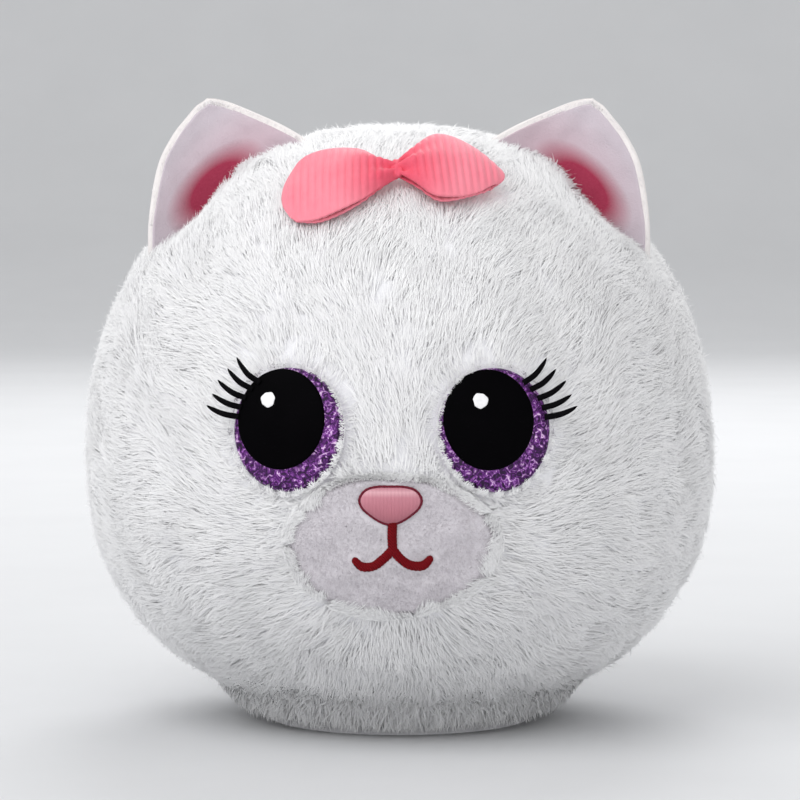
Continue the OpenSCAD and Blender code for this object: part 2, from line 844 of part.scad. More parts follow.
module gearbox_plate() {
    color([0.35, 0.37, 0.4]) difference() {
        translate([plate_x[1], -13, chassis_z + 4]) cube([plate_t[1], 34, 84 - chassis_z]);
        along_x(plate_x[1] - cut, 0, axis_z) cylinder(r = shaft_r + running_gap, h = 8);
        along_x(plate_x[1] - cut, idler_y, axis_z) cylinder(r = axle_r, h = 8);
        for (p = [[-11, chassis_z + 8], [19, chassis_z + 8], [-10, 84]]) {
            along_x(plate_x[1] - cut, p[0], p[1]) cylinder(r = board_shank_r, h = 8);
        }
    }
}
module gearbox_screws() {
    color([0.7, 0.7, 0.72]) for (p = [[-11, chassis_z + 8], [19, chassis_z + 8], [-10, 84]]) {
        along_x(plate_x[1] + plate_t[1], p[0], p[1]) pan_screw_down(1.6, 1, board_shank_r, 6);
    }
}
module idler_axle() {
    color([0.75, 0.75, 0.77]) along_x(plate_x[0], idler_y, axis_z)
        cylinder(r = axle_r, h = plate_x[1] + plate_t[1] - plate_x[0]);
}
motor_x = -28;
motor_l = 20;
motor_r = 10;
motor_flat = 15;
module motor() {
    color([0.72, 0.72, 0.74]) difference() {
        along_x(motor_x, idler_y, motor_z) {
            intersection() {
                cylinder(r = motor_r, h = motor_l);
                translate([-motor_flat / 2, -motor_r, 0]) cube([motor_flat, 2 * motor_r, motor_l]);
            }
            translate([0, 0, motor_l]) cylinder(r = 3, h = plate_x[0] - motor_x - motor_l + 1.9);
        }
        along_x(-18, idler_y, motor_z) cylinder(r = axle_r + running_gap, h = 14);
    }
}
module motor_shaft() {
    color([0.8, 0.8, 0.82]) along_x(-17.5, idler_y, motor_z) cylinder(r = axle_r, h = 17);
}
// Tooth phases put the pairs in mesh: a tooth of one gear faces a gap of the other.
module motor_pinion() {
    color([0.95, 0.95, 0.9]) along_x(-5.6, idler_y, motor_z) difference() {
        rotate([0, 0, 90 + 180 / pinion_teeth]) linear_extrude(height = 5) gear_outline(pinion_teeth);
        translate([0, 0, -cut]) cylinder(r = axle_r, h = 5 + 2 * cut);
    }
}
module idler_gear() {
    color([0.95, 0.95, 0.9]) along_x(-5.2, idler_y, axis_z) difference() {
        union() {
            rotate([0, 0, 90]) linear_extrude(height = 4) gear_outline(wheel_teeth);
            translate([0, 0, 4]) linear_extrude(height = 5) gear_outline(pinion_teeth);
        }
        translate([0, 0, -cut]) cylinder(r = axle_r + running_gap, h = 9 + 2 * cut);
    }
}
module output_gear() {
    color([0.95, 0.95, 0.9]) along_x(-0.6, 0, axis_z) difference() {
        union() {
            rotate([0, 0, 180 / wheel_teeth]) linear_extrude(height = 4) gear_outline(wheel_teeth);
            cylinder(r = 3, h = 5);
        }
        translate([0, 0, -cut]) cylinder(r = shaft_r, h = 5 + 2 * cut);
    }
}
module output_shaft() {
    color([0.8, 0.8, 0.82]) along_x(plate_x[0] - 0.5, 0, axis_z) cylinder(r = shaft_r, h = 28);
}
weight_r = 17;
weight_t = 9;
weight_x = 9;
module eccentric_weight() {
    color([0.5, 0.5, 0.52]) difference() {
        union() {
            along_x(weight_x, 0, axis_z) cylinder(r = 4, h = weight_t);
            intersection() {
                along_x(weight_x, 0, axis_z) cylinder(r = weight_r, h = weight_t);
                translate([weight_x - cut, -20, axis_z - 20]) cube([weight_t + 2 * cut, 40, 20]);
            }
        }
        along_x(weight_x - cut, 0, axis_z) cylinder(r = shaft_r, h = weight_t + 2 * cut);
    }
}

// ---- Speaker behind the grille ----
speaker_r = 16;
module along_back(y) {
    translate([0, y, grille_z]) rotate([-90, 0, 0]) children();
}
module speaker_basket() {
    color([0.55, 0.56, 0.58]) along_back(grille_y - 9) difference() {
        rotate_extrude() polygon([[0, 0], [9.5, 0], [speaker_r, 7], [speaker_r, 9], [0, 9]]);
        translate([0, 0, 1.2]) rotate_extrude()
            polygon([[0, 0], [8.5, 0], [speaker_r - 2, 6.2], [speaker_r - 2, 9], [0, 9]]);
    }
}
module speaker_cone() {
    color([0.1, 0.1, 0.11]) along_back(grille_y - 6.7) rotate_extrude() polygon([
        [0, 0.6], [5, 0.6], [speaker_r - 4, 5.2], [speaker_r - 2.2, 5.2],
        [speaker_r - 2.2, 5.9], [speaker_r - 4.4, 5.9], [5, 1.4], [0, 1.4]
    ]);
}
module speaker_magnet() {
    color([0.35, 0.35, 0.37]) along_back(grille_y - 15) cylinder(r = 9, h = 6);
}

// ---- Pat button under the crown ----
stem_bottom = 102;
clip_z = 103;
clip_t = 0.8;
module pat_button() {
    color([0.9, 0.9, 0.92]) difference() {
        union() {
            cylinder_between(button_disc_r, button_z, button_z + button_disc_t);
            cylinder_between(stem_r, stem_bottom, button_z + 1);
            cylinder_between(stem_r + 1.5, button_z - 3, button_z + 1);
        }
        difference() {
            cylinder_between(stem_r + 1, clip_z, clip_z + clip_t);
            cylinder_between(stem_r - 0.8, clip_z - cut, clip_z + clip_t + cut);
        }
    }
}
module button_clip() {
    color([0.6, 0.6, 0.62]) difference() {
        cylinder_between(stem_r + 2, clip_z, clip_z + clip_t);
        cylinder_between(stem_r - 0.8, clip_z - cut, clip_z + clip_t + cut);
        translate([-1.2, 0, clip_z - cut]) cube([2.4, 8, clip_t + 2 * cut]);
    }
}
spring_r = 7;
spring_wire = 0.45;
module pat_spring() {
    color([0.78, 0.78, 0.8]) translate([0, 0, capsule_top_z + 0.05])
        coil(spring_r, spring_wire, button_z - capsule_top_z - 0.1, 4, 8, 24);
}
module tact_switch() {
    top = switch_board_z + switch_board_t;
    press_z = stem_bottom - pat_travel - 0.1;
    color([0.1, 0.4, 0.2]) difference() {
        translate([-14.5, -5, switch_board_z]) cube([29, 10, switch_board_t]);
        for (x = [-1, 1]) {
            translate([x * switch_post_x, 0, 0])
                cylinder_between(board_shank_r, switch_board_z - cut, top + cut);
        }
    }
    color([0.15, 0.15, 0.16]) translate([-3, -3, top]) cube([6, 6, press_z - 0.8 - top]);
    color([0.6, 0.1, 0.1]) cylinder_between(1.7, press_z - 0.8, press_z);
}

// ---- Wiring: each lead is a swept tube along points chosen for its run ----
lead_r = 0.7;
motor_run = [[-26, 14, 67.2], [-26.5, 14, 60], [-27.5, 4, 52], [-27, -16, 46], [-26.5, -17, 38],
    [-18, -15, 31.5], [-13, -13, 29.5]];
speaker_run = [[-6, 28, 48], [-12, 25, 47], [-21, 8, 46.5], [-21, -11, 45], [-20.5, -13, 38],
    [-8, -15, 33], [-3, -13, 29.5]];
switch_run = [[13, -7, 93.4], [22, -10, 90], [27, -18, 72], [24, -16, 52], [20, -8, 44],
    [20, -8, 34], [20, -4, 24.5]];
function unit(v) = v / norm(v);
// The side vector keeps the rings from twisting: no stretch of the run may lie along it.
module lead(run, side) {
    sides = 8;
    last = len(run) - 1;
    points = [for (i = [0 : last]) let (
            d = unit(run[min(i + 1, last)] - run[max(i - 1, 0)]),
            u = unit(cross(d, side)),
            v = cross(d, u)
        ) for (j = [0 : sides - 1])
            run[i] + lead_r * (cos(360 * j / sides) * u + sin(360 * j / sides) * v)];
    skin = [for (i = [0 : last - 1]) for (j = [0 : sides - 1]) let (k = (j + 1) % sides)
        each [[i * sides + j, i * sides + k, (i + 1) * sides + k],
            [i * sides + j, (i + 1) * sides + k, (i + 1) * sides + j]]];
    polyhedron(points = points, faces = concat(
        skin,
        [[for (j = [sides - 1 : -1 : 0]) j]],
        [[for (j = [0 : sides - 1]) last * sides + j]]
    ), convexity = 6);
}
module wiring() {
    color([0.7, 0.1, 0.1]) lead(motor_run, [1, 0, 0]);
    color([0.1, 0.1, 0.1]) lead(speaker_run, [0, 0, 1]);
    color([0.8, 0.6, 0.1]) lead(switch_run, [1, 0, 0]);
}

cover_front();
cover_left();
cover_right();
cover_back();
collar_tie();
fibre_stuffing();
muzzle_patch();
nose_patch();
mouth_stitching();
left_eye();
right_eye();
left_pupil();
right_pupil();
left_eye_glint();
right_eye_glint();
left_eye_washer();
right_eye_washer();
left_lashes();
right_lashes();
left_ear_back();
right_ear_back();
left_ear_lining();
right_ear_lining();
bow_left_loop();
bow_right_loop();
bow_knot();
base_plate();
base_screws();
battery_door();
door_screw();
battery_cells();
battery_springs();
battery_contacts();
power_switch_body();
power_switch_knob();
capsule_lower();
capsule_upper();
capsule_screws();
mainboard();
mainboard_components();
board_screws();
chassis();
gearbox_plate();
gearbox_screws();
idler_axle();
motor();
motor_shaft();
motor_pinion();
idler_gear();
output_gear();
output_shaft();
eccentric_weight();
speaker_basket();
speaker_cone();
speaker_magnet();
pat_button();
button_clip();
pat_spring();
tact_switch();
wiring();
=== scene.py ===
import json
import math

import bmesh
import bpy
import numpy as np
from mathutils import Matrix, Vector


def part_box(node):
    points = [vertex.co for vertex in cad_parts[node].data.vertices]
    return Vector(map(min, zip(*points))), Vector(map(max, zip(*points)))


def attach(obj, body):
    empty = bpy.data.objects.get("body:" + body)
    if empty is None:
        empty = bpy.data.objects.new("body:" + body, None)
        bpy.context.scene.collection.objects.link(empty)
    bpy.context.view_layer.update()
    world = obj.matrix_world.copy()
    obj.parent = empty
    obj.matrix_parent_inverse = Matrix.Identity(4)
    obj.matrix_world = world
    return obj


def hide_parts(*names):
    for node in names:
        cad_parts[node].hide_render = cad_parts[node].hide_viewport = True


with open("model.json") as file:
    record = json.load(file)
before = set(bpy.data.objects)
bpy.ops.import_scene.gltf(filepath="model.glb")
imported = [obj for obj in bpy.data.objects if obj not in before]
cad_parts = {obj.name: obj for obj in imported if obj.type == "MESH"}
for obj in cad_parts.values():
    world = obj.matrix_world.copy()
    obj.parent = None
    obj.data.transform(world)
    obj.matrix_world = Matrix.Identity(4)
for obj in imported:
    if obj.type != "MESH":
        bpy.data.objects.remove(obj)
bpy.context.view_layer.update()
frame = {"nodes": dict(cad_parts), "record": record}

# Shapes are worked out in millimetres, in the CAD frame: +Z up, the face looks along -Y.
# new_piece() turns them into metres.
MM = 0.001
SIDES = (-1, 1)
SIDE_NAMES = {-1: "left", 1: "right"}


def box_mm(node):
    low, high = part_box(node)
    return np.array(low) / MM, np.array(high) / MM


# ---- The ball: a superellipse of revolution, a fuller crown over a flatter belly ----
BALL_R = -box_mm("cover_left")[0][0]
CROWN_TOP = box_mm("cover_back")[1][2]
WAIST_Z = 65.7
CROWN_H = CROWN_TOP - WAIST_Z
CROWN_N = 2.2
BELLY_N = 2.25
PLATE_R = box_mm("base_plate")[1][0]
HEM_Z = box_mm("cover_back")[0][2]


def unit(v):
    return v / np.maximum(np.linalg.norm(v, axis=-1, keepdims=True), 1e-9)


def halves(z):
    """Height and power of the half of the ball that each z is in."""
    up = z > WAIST_Z
    return np.where(up, CROWN_H, WAIST_Z), np.where(up, CROWN_N, BELLY_N)


def ball_level(p):
    """1 on the tips of the pile, less inside."""
    height, n = halves(p[..., 2])
    r = np.hypot(p[..., 0], p[..., 1])
    return ((r / BALL_R) ** n + (np.abs(p[..., 2] - WAIST_Z) / height) ** n) ** (1 / n)


def ball_normal(p):
    height, n = halves(p[..., 2])
    r = np.maximum(np.hypot(p[..., 0], p[..., 1]), 1e-6)
    dz = p[..., 2] - WAIST_Z
    out = (r / BALL_R) ** (n - 1) / BALL_R
    up = np.sign(dz) * (np.abs(dz) / height) ** (n - 1) / height
    return unit(np.stack([p[..., 0] / r * out, p[..., 1] / r * out, up], -1))


def on_ball(p):
    """The point of the ball's skin of tips on the ray from its middle through p."""
    middle = np.array([0, 0, WAIST_Z])
    return middle + (p - middle) / ball_level(p)[..., None]


def profile(t):
    """Radius and height of the ball from the bottom, at -1, to the crown, at 1."""
    a = np.abs(t) * math.pi / 2
    height, n = halves(WAIST_Z + t)
    r = BALL_R * np.maximum(np.cos(a), 0) ** (2 / n)
    return r, WAIST_Z + np.sign(t) * height * np.sin(a) ** (2 / n)


WAVES = 12


def ripple(p, seed, size):
    """Smooth noise within 1.6 of zero: waves of one size in mixed directions."""
    draw = np.random.default_rng(seed)
    k = unit(draw.normal(size=(WAVES, 3))) * draw.uniform(0.6, 1.5, (WAVES, 1)) * 2 * math.pi / size
    total = np.sin(p @ k.T + draw.uniform(0, 2 * math.pi, WAVES)).sum(-1) / math.sqrt(WAVES / 2)
    return 1.6 * np.tanh(total / 1.6)


def smooth(x, low, high):
    t = np.clip((x - low) / (high - low), 0, 1)
    return t * t * (3 - 2 * t)


def through(points, t):
    """A smooth curve through a few points, from the first at 0 to the last at 1."""
    points = np.array(points, float)
    slope = np.gradient(points, axis=0)
    x = np.clip(np.asarray(t, float), 0, 1) * (len(points) - 1)
    i = np.minimum(x.astype(int), len(points) - 2)
    f = (x - i)[..., None]
    a, b = points[i], points[i + 1]
    return (
        (2 * f ** 3 - 3 * f ** 2 + 1) * a + (f ** 3 - 2 * f ** 2 + f) * slope[i]
        + (3 * f ** 2 - 2 * f ** 3) * b + (f ** 3 - f ** 2) * slope[i + 1]
    )


def around(count):
    """Angles spread evenly round a circle."""
    return np.linspace(0, 2 * math.pi, count, endpoint=False)


def spun(r, a, z):
    """Points at radii, angles and heights round the ball's axis."""
    return np.stack([r * np.cos(a), r * np.sin(a), z + 0 * a], -1)


def laid(way, normal):
    """The direction of way along the surface that a normal belongs to."""
    return unit(way - normal * (way * normal).sum(-1, keepdims=True))


def turn(axis, degrees):
    a = math.radians(degrees)
    c, s = math.cos(a), math.sin(a)
    return {
        "x": np.array([[1, 0, 0], [0, c, -s], [0, s, c]]),
        "z": np.array([[c, -s, 0], [s, c, 0], [0, 0, 1]]),
    }[axis]


class Place:
    """A spot on the ball whose own +Z points straight out of the fur."""

    def __init__(self, at, tilt, side_turn=0, roll=0):
        self.at = np.array(at, float)
        self.m = turn("z", side_turn) @ turn("x", 90 - tilt) @ turn("z", roll)

    def out(self, p):
        return np.asarray(p, float) @ self.m.T + self.at

    def back(self, p):
        return (np.asarray(p, float) - self.at) @ self.m


# ---- Making pieces ----
def in_scene(name, data):
    made = bpy.data.objects.new(name, data)
    bpy.context.scene.collection.objects.link(made)
    return made


def on_pet(name, mesh):
    """The mesh as a piece of the ball's own body."""
    piece = in_scene(name, mesh)
    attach(piece, "pet")
    return piece


def new_piece(name, verts, faces, slot, stands_for=None, look=None):
    """A closed form in millimetres as a piece, with its slot's look unless it has its own."""
    mesh = bpy.data.meshes.new(name)
    mesh.from_pydata((np.asarray(verts) * MM).tolist(), [], [list(map(int, f)) for f in faces])
    work = bmesh.new()
    work.from_mesh(mesh)
    bmesh.ops.remove_doubles(work, verts=work.verts, dist=0.002 * MM)
    bmesh.ops.dissolve_degenerate(work, edges=work.edges, dist=0.001 * MM)
    bmesh.ops.recalc_face_normals(work, faces=work.faces)
    work.to_mesh(mesh)
    work.free()
    mesh.polygons.foreach_set("use_smooth", [True] * len(mesh.polygons))
    mesh.materials.append(look or LOOKS[slot])
    piece = on_pet(name, mesh)
    if stands_for:
        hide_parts(stands_for)
    return piece


def grid_faces(rows, columns, start=0, wrap=False):
    faces = []
    for i in range(rows - 1):
        for j in range(columns if wrap else columns - 1):
            k = (j + 1) % columns
            a, b = start + i * columns, start + (i + 1) * columns
            faces.append((a + j, a + k, b + k, b + j))
    return faces


def two_sided(front, back):
    """Points and faces of a closed shell between two grids of the same size."""
    rows, columns = front.shape[:2]
    n = rows * columns
    faces = grid_faces(rows, columns) + [f[::-1] for f in grid_faces(rows, columns, n)]
    edge = [(0, j) for j in range(columns)] + [(i, columns - 1) for i in range(1, rows)]
    edge += [(rows - 1, j) for j in range(columns - 2, -1, -1)]
    edge += [(i, 0) for i in range(rows - 2, 0, -1)]
    ids = [i * columns + j for i, j in edge]
    for a, b in zip(ids, ids[1:] + ids[:1]):
        faces.append((a, a + n, b + n, b))
    return np.concatenate([front.reshape(-1, 3), back.reshape(-1, 3)]), faces


def capped_rings(rings):
    """Points and faces of a closed form made of rings, with a middle point at each end."""
    rings = np.asarray(rings)
    rows, columns = rings.shape[:2]
    verts = np.concatenate([rings.reshape(-1, 3), rings[0].mean(0)[None], rings[-1].mean(0)[None]])
    faces = grid_faces(rows, columns, wrap=True)
    first, last = rows * columns, rows * columns + 1
    for j in range(columns):
        k = (j + 1) % columns
        faces.append((first, k, j))
        faces.append((last, (rows - 1) * columns + j, (rows - 1) * columns + k))
    return verts, faces


def joined(parts):
    """Points and faces of several forms as one."""
    verts, faces = [], []
    for more_verts, more_faces in parts:
        faces += [tuple(i + len(verts) for i in face) for face in more_faces]
        verts += list(more_verts)
    return np.array(verts), faces


def sweep(path, radii, sides, flat, up=(0, 0, 1)):
    """Rings of a round or flattened cord along a path, its ends closed by capped_rings."""
    path = np.asarray(path, float)
    along = unit(np.gradient(path, axis=0))
    side = unit(np.cross(along, up))
    top = np.cross(side, along)
    a = around(sides)
    radii = np.broadcast_to(radii, len(path))
    ring = np.cos(a)[None, :, None] * side[:, None] + flat * np.sin(a)[None, :, None] * top[:, None]
    return path[:, None] + radii[:, None, None] * ring


# ---- Looks ----
def srgb(r, g, b):
    """A colour as a screen shows it, 0 to 255, in linear light."""
    c = np.array([r, g, b]) / 255
    c = np.where(c <= 0.04045, c / 12.92, ((c + 0.055) / 1.055) ** 2.4)
    return (*c.tolist(), 1)


class Look:
    """A material under construction: its node tree and its Principled shader."""

    def __init__(self, name, rough=0.6, metal=0.0, **constants):
        self.material = bpy.data.materials.new(name)
        self.material.use_nodes = True
        self.tree = self.material.node_tree
        self.shader = self.tree.nodes["Principled BSDF"]
        self.shader.inputs["Roughness"].default_value = rough
        self.shader.inputs["Metallic"].default_value = metal
        for key, value in constants.items():
            self.shader.inputs[key.replace("_", " ")].default_value = value
        self.place = None

    def node(self, kind, **settings):
        made = self.tree.nodes.new("ShaderNode" + kind)
        for key, value in settings.items():
            if key in made.bl_rna.properties:
                setattr(made, key, value)
            else:
                made.inputs[key.replace("_", " ")].default_value = value
        return made

    def link(self, a, b):
        self.tree.links.new(a, b)

    def where(self):
        if self.place is None:
            self.place = self.node("TexCoord").outputs["Object"]
        return self.place

    def stretched(self, scale):
        fit = self.node("Mapping")
        fit.inputs["Scale"].default_value = scale
        self.link(self.where(), fit.inputs["Vector"])
        return fit.outputs["Vector"]

    def noise(self, size, detail=3.0, stretch=(1, 1, 1), rough=0.55, warp=0.0):
        made = self.node("TexNoise", Scale=1 / (size * MM), Detail=detail, Roughness=rough, Distortion=warp)
        self.link(self.stretched(stretch), made.inputs["Vector"])
        return made.outputs["Fac"]

    def cells(self, size):
        made = self.node("TexVoronoi", Scale=1 / (size * MM))
        self.link(self.where(), made.inputs["Vector"])
        return made.outputs["Distance"]

    def stripes(self, pitch, direction, distortion):
        """Waves across a direction; 0.314 makes the texture's own wave as long as the pitch."""
        made = self.node("TexWave", Scale=0.314 / (pitch * MM), Distortion=distortion)
        made.bands_direction = direction
        self.link(self.where(), made.inputs["Vector"])
        return made.outputs["Fac"]

    def ramp(self, factor, *stops):
        made = self.node("ValToRGB")
        points = made.color_ramp.elements
        while len(points) < len(stops):
            points.new(0.5)
        for point, (at, colour) in zip(points, stops):
            point.position = at
            point.color = colour if hasattr(colour, "__len__") else (colour, colour, colour, 1)
        self.link(factor, made.inputs["Fac"])
        return made.outputs["Color"]

    def mix(self, factor, a, b):
        made = self.node("Mix", data_type="RGBA")
        for socket, value in ((made.inputs[0], factor), (made.inputs[6], a), (made.inputs[7], b)):
            if isinstance(value, bpy.types.NodeSocket):
                self.link(value, socket)
            else:
                socket.default_value = value
        return made.outputs[2]

    def spot(self, centre, radii, degrees):
        """1 at a centre in X and Z, falling to 0 at an ellipse round it, the same at every Y."""
        fit = self.node("Mapping", vector_type="TEXTURE")
        fit.inputs["Location"].default_value = (centre[0] * MM, 0, centre[1] * MM)
        fit.inputs["Rotation"].default_value = (0, math.radians(degrees), 0)
        fit.inputs["Scale"].default_value = (radii[0] * MM, 100, radii[1] * MM)
        made = self.node("TexGradient", gradient_type="SPHERICAL")
        self.link(self.where(), fit.inputs["Vector"])
        self.link(fit.outputs["Vector"], made.inputs["Vector"])
        return made.outputs["Fac"]

    def share_of_height(self, low, high):
        """0 at one Z and 1 at another, both in millimetres."""
        apart = self.node("SeparateXYZ")
        made = self.node("MapRange")
        made.inputs["From Min"].default_value = low * MM
        made.inputs["From Max"].default_value = high * MM
        self.link(self.where(), apart.inputs[0])
        self.link(apart.outputs["Z"], made.inputs["Value"])
        return made.outputs[0]

    def colour(self, socket):
        self.link(socket, self.shader.inputs["Base Color"])
        return self

    def bump(self, height, strength, distance):
        """Stacks a bump on those already there; distance is in millimetres."""
        made = self.node("Bump", Strength=strength, Distance=distance * MM)
        self.link(height, made.inputs["Height"])
        into = self.shader.inputs["Normal"]
        if into.is_linked:
            self.link(into.links[0].from_socket, made.inputs["Normal"])
        self.link(made.outputs["Normal"], into)
        return self

    def roughness(self, factor, low, high):
        self.link(self.ramp(factor, (0.3, low), (0.7, high)), self.shader.inputs["Roughness"])
        return self


def speckled(name, light, dark, size, rough, metal=0.0, grain=0.4, stretch=(1, 1, 1), **constants):
    """A moulded or metal surface: two close colours, a fine grain and uneven roughness."""
    look = Look(name, rough, metal, **constants)
    broad = look.noise(size * 12, 4.0)
    fine = look.noise(size, 2.0, stretch)
    look.colour(look.mix(look.ramp(broad, (0.35, 0.0), (0.7, 1.0)), srgb(*dark), srgb(*light)))
    look.roughness(fine, max(rough - 0.08, 0.05), min(rough + 0.1, 1.0))
    look.bump(fine, grain, 0.05)
    return look.material


def two_tone(name, rough, dark, light, blotch, *bumps, **constants):
    """Two close colours in blotches of one noise, with bumps of other noises stacked on it."""
    look = Look(name, rough, **constants)
    look.colour(look.mix(look.noise(*blotch), srgb(*dark), srgb(*light)))
    for texture, strength, distance in bumps:
        look.bump(look.noise(*texture), strength, distance)
    return look.material


PILE = {"Specular_IOR_Level": 0.15, "Sheen_Weight": 0.15, "Sheen_Roughness": 0.6}
CLOTH = {"Specular_IOR_Level": 0.1, "Sheen_Roughness": 0.5}


def pile_looks(name, *colours):
    """Plain whites of one pile: its variety comes from its strands."""
    made = []
    for number, colour in enumerate(colours, 1):
        look = Look(f"{name}_{number}", 0.85, **PILE)
        look.shader.inputs["Base Color"].default_value = (*colour, 1)
        made.append(look.material)
    return made


def skin_look():
    look = Look("fur_backing", 0.95, Specular_IOR_Level=0.1)
    knit = look.cells(0.9)
    look.colour(look.mix(look.noise(7, 4.0), srgb(232, 232, 236), srgb(243, 243, 245)))
    return look.bump(knit, 0.3, 0.2).bump(look.noise(3), 0.4, 0.4).material


def muzzle_look():
    look = Look("muzzle_pile", 0.9, Sheen_Weight=0.2, **CLOTH)
    broad = look.ramp(look.noise(6, 4.0), (0.3, srgb(200, 195, 201)), (0.72, srgb(212, 208, 213)))
    fine = look.noise(0.35, 3.0)
    look.colour(look.mix(look.ramp(fine, (0.3, 0.0), (0.8, 0.5)), broad, srgb(232, 228, 234)))
    return look.bump(fine, 0.8, 0.25).bump(look.noise(2.4, 3.0), 0.5, 0.5).material


def nose_look():
    low, high = box_mm("nose_patch")
    look = Look("nose_thread", 0.5, Specular_IOR_Level=0.35, Sheen_Weight=0.2)
    # Pink by height: darker toward the bottom, a pale band near the top and darker again at the top edge.
    # The dark bottom is painted shade under the padded nose, and the pale band is a painted highlight
    # across its top.
    body = look.ramp(
        look.share_of_height(low[2], high[2]), (0.0, srgb(176, 104, 118)), (0.45, srgb(204, 130, 144)),
        (0.72, srgb(214, 142, 156)), (0.86, srgb(240, 186, 196)), (1.0, srgb(190, 110, 128)),
    )
    thread = look.stripes(0.32, "X", 1.2)
    # Darker pink in the grooves between threads, where the bump's stripes sink: painted shade.
    look.colour(look.mix(look.ramp(thread, (0.0, 0.45), (0.6, 0.0)), body, srgb(150, 76, 92)))
    return look.bump(thread, 0.7, 0.12).material


def thread_look(name, light, dark):
    look = Look(name, 0.6, Specular_IOR_Level=0.12)
    thread = look.stripes(0.3, "DIAGONAL", 1.5)
    # The colour runs from the dark one in the grooves between threads to the light one on their ridges,
    # following the bump's stripes: painted shade in the grooves.
    look.colour(look.mix(look.ramp(thread, (0.1, 0.0), (0.8, 1.0)), srgb(*dark), srgb(*light)))
    return look.bump(thread, 0.7, 0.1).material


def glitter_look():
    """Deep purple foil: creased, darkest in the crease hollows, with pale sparks on the raised creases that
    are painted glints.
    """
    look = Look("eye_glitter", 0.4, 0.2, Coat_Weight=0.12, Coat_Roughness=0.15, Specular_IOR_Level=0.3)
    crease = look.noise(1.5, 5.0, rough=0.6, warp=1.6)
    cloud = look.noise(2.8, 3.0)
    # Painted glints: the near-white end of this ramp, on the tops of the creases.
    foil = look.ramp(
        crease, (0.36, srgb(28, 4, 38)), (0.45, srgb(62, 12, 80)), (0.52, srgb(104, 34, 128)),
        (0.585, srgb(160, 92, 182)), (0.64, srgb(246, 210, 250)),
    )
    look.colour(look.mix(look.ramp(cloud, (0.45, 0.0), (0.68, 0.5)), foil, srgb(48, 8, 62)))
    look.roughness(cloud, 0.25, 0.5)
    return look.bump(crease, 1.0, 0.5).bump(look.cells(0.7), 0.5, 0.2).material


ROSE_AT = (45.8, 134.6)
ROSE_SIZE = (17.5, 8.8)
ROSE_LEAN = 44


def ear_lining_look(side):
    look = Look(f"ear_lining_{SIDE_NAMES[side]}", 0.9, Sheen_Weight=0.25, **CLOTH)
    nap = look.noise(0.5, 4.0)
    cloth = look.mix(look.noise(7, 4.0), srgb(196, 185, 194), srgb(210, 201, 209))
    rose = look.mix(nap, srgb(150, 44, 70), srgb(172, 62, 88))
    spot = look.spot((side * ROSE_AT[0], ROSE_AT[1]), ROSE_SIZE, side * ROSE_LEAN)
    veil = look.spot((side * (ROSE_AT[0] - 5), ROSE_AT[1] + 3), (28, 15), side * ROSE_LEAN)
    tint = look.mix(look.ramp(veil, (0.0, 0.0), (0.8, 0.4)), cloth, srgb(198, 138, 154))
    look.colour(look.mix(look.ramp(spot, (0.1, 0.0), (0.55, 1.0)), tint, rose))
    return look.bump(nap, 0.6, 0.2).bump(look.noise(3), 0.3, 0.4).material


BOW_AT = (0.7, -49.5, 139.5)


def bow_look():
    look = Look("bow_ribbon", 0.62, Specular_IOR_Level=0.25, Sheen_Weight=0.2, Sheen_Roughness=0.5)
    away = look.spot((BOW_AT[0], BOW_AT[2]), (17, 14), 0)
    weave = look.noise(0.25, 2.0, (1, 3, 3))
    wash = look.mix(look.noise(5, 4.0), srgb(240, 124, 143), srgb(250, 150, 165))
    # Deeper, darker pink toward the knot: painted shade of the folds gathered there.
    knot_fold_shade = look.mix(look.noise(1.8, 4.0), srgb(222, 70, 96), srgb(244, 104, 126))
    look.colour(look.mix(look.ramp(away, (0.1, 0.0), (0.75, 1.0)), wash, knot_fold_shade))
    return look.bump(weave, 0.5, 0.08).material


WOOL = (1.2, 6.0, (1, 1, 3))
LOOKS = {
    "skin": skin_look(),
    "fibre": two_tone("stuffing_fibre", 0.95, (222, 222, 218), (248, 248, 244), WOOL,
                      (WOOL, 0.9, 0.8), ((9,), 0.6, 2.0), Specular_IOR_Level=0.1),
    "muzzle_pile": muzzle_look(),
    "nose_thread": nose_look(),
    "mouth_thread": thread_look("mouth_thread", (128, 2, 16), (76, 0, 8)),
    "nose_edge": thread_look("nose_edge", (126, 40, 58), (84, 20, 34)),
    "eye_purple": glitter_look(),
    "eye_black": two_tone("pupil_black", 0.5, (1, 1, 2), (5, 4, 6), (5,),
                          ((1.5,), 0.05, 0.05), Specular_IOR_Level=0.02),
    "eye_white": two_tone("glint_white", 0.4, (226, 226, 230), (255, 255, 255), (0.8, 4.0),
                          ((0.6,), 0.2, 0.05), Specular_IOR_Level=0.3),
    "lash_black": two_tone("lash_black", 0.7, (1, 1, 2), (14, 12, 16), (0.8,),
                           ((0.3, 3.0, (1, 1, 4)), 0.5, 0.08), Specular_IOR_Level=0.05),
    "ear_pile": two_tone("ear_pile", 0.9, (228, 222, 222), (246, 242, 240), (5, 4.0),
                         ((0.5, 4.0), 0.7, 0.25), Sheen_Weight=0.3, **CLOTH),
    "bow_ribbon": bow_look(),
    "gear_nylon": speckled("gear_nylon", (240, 240, 230), (226, 225, 212), 0.3, 0.45,
                           Subsurface_Weight=0.1, Subsurface_Scale=0.001),
}

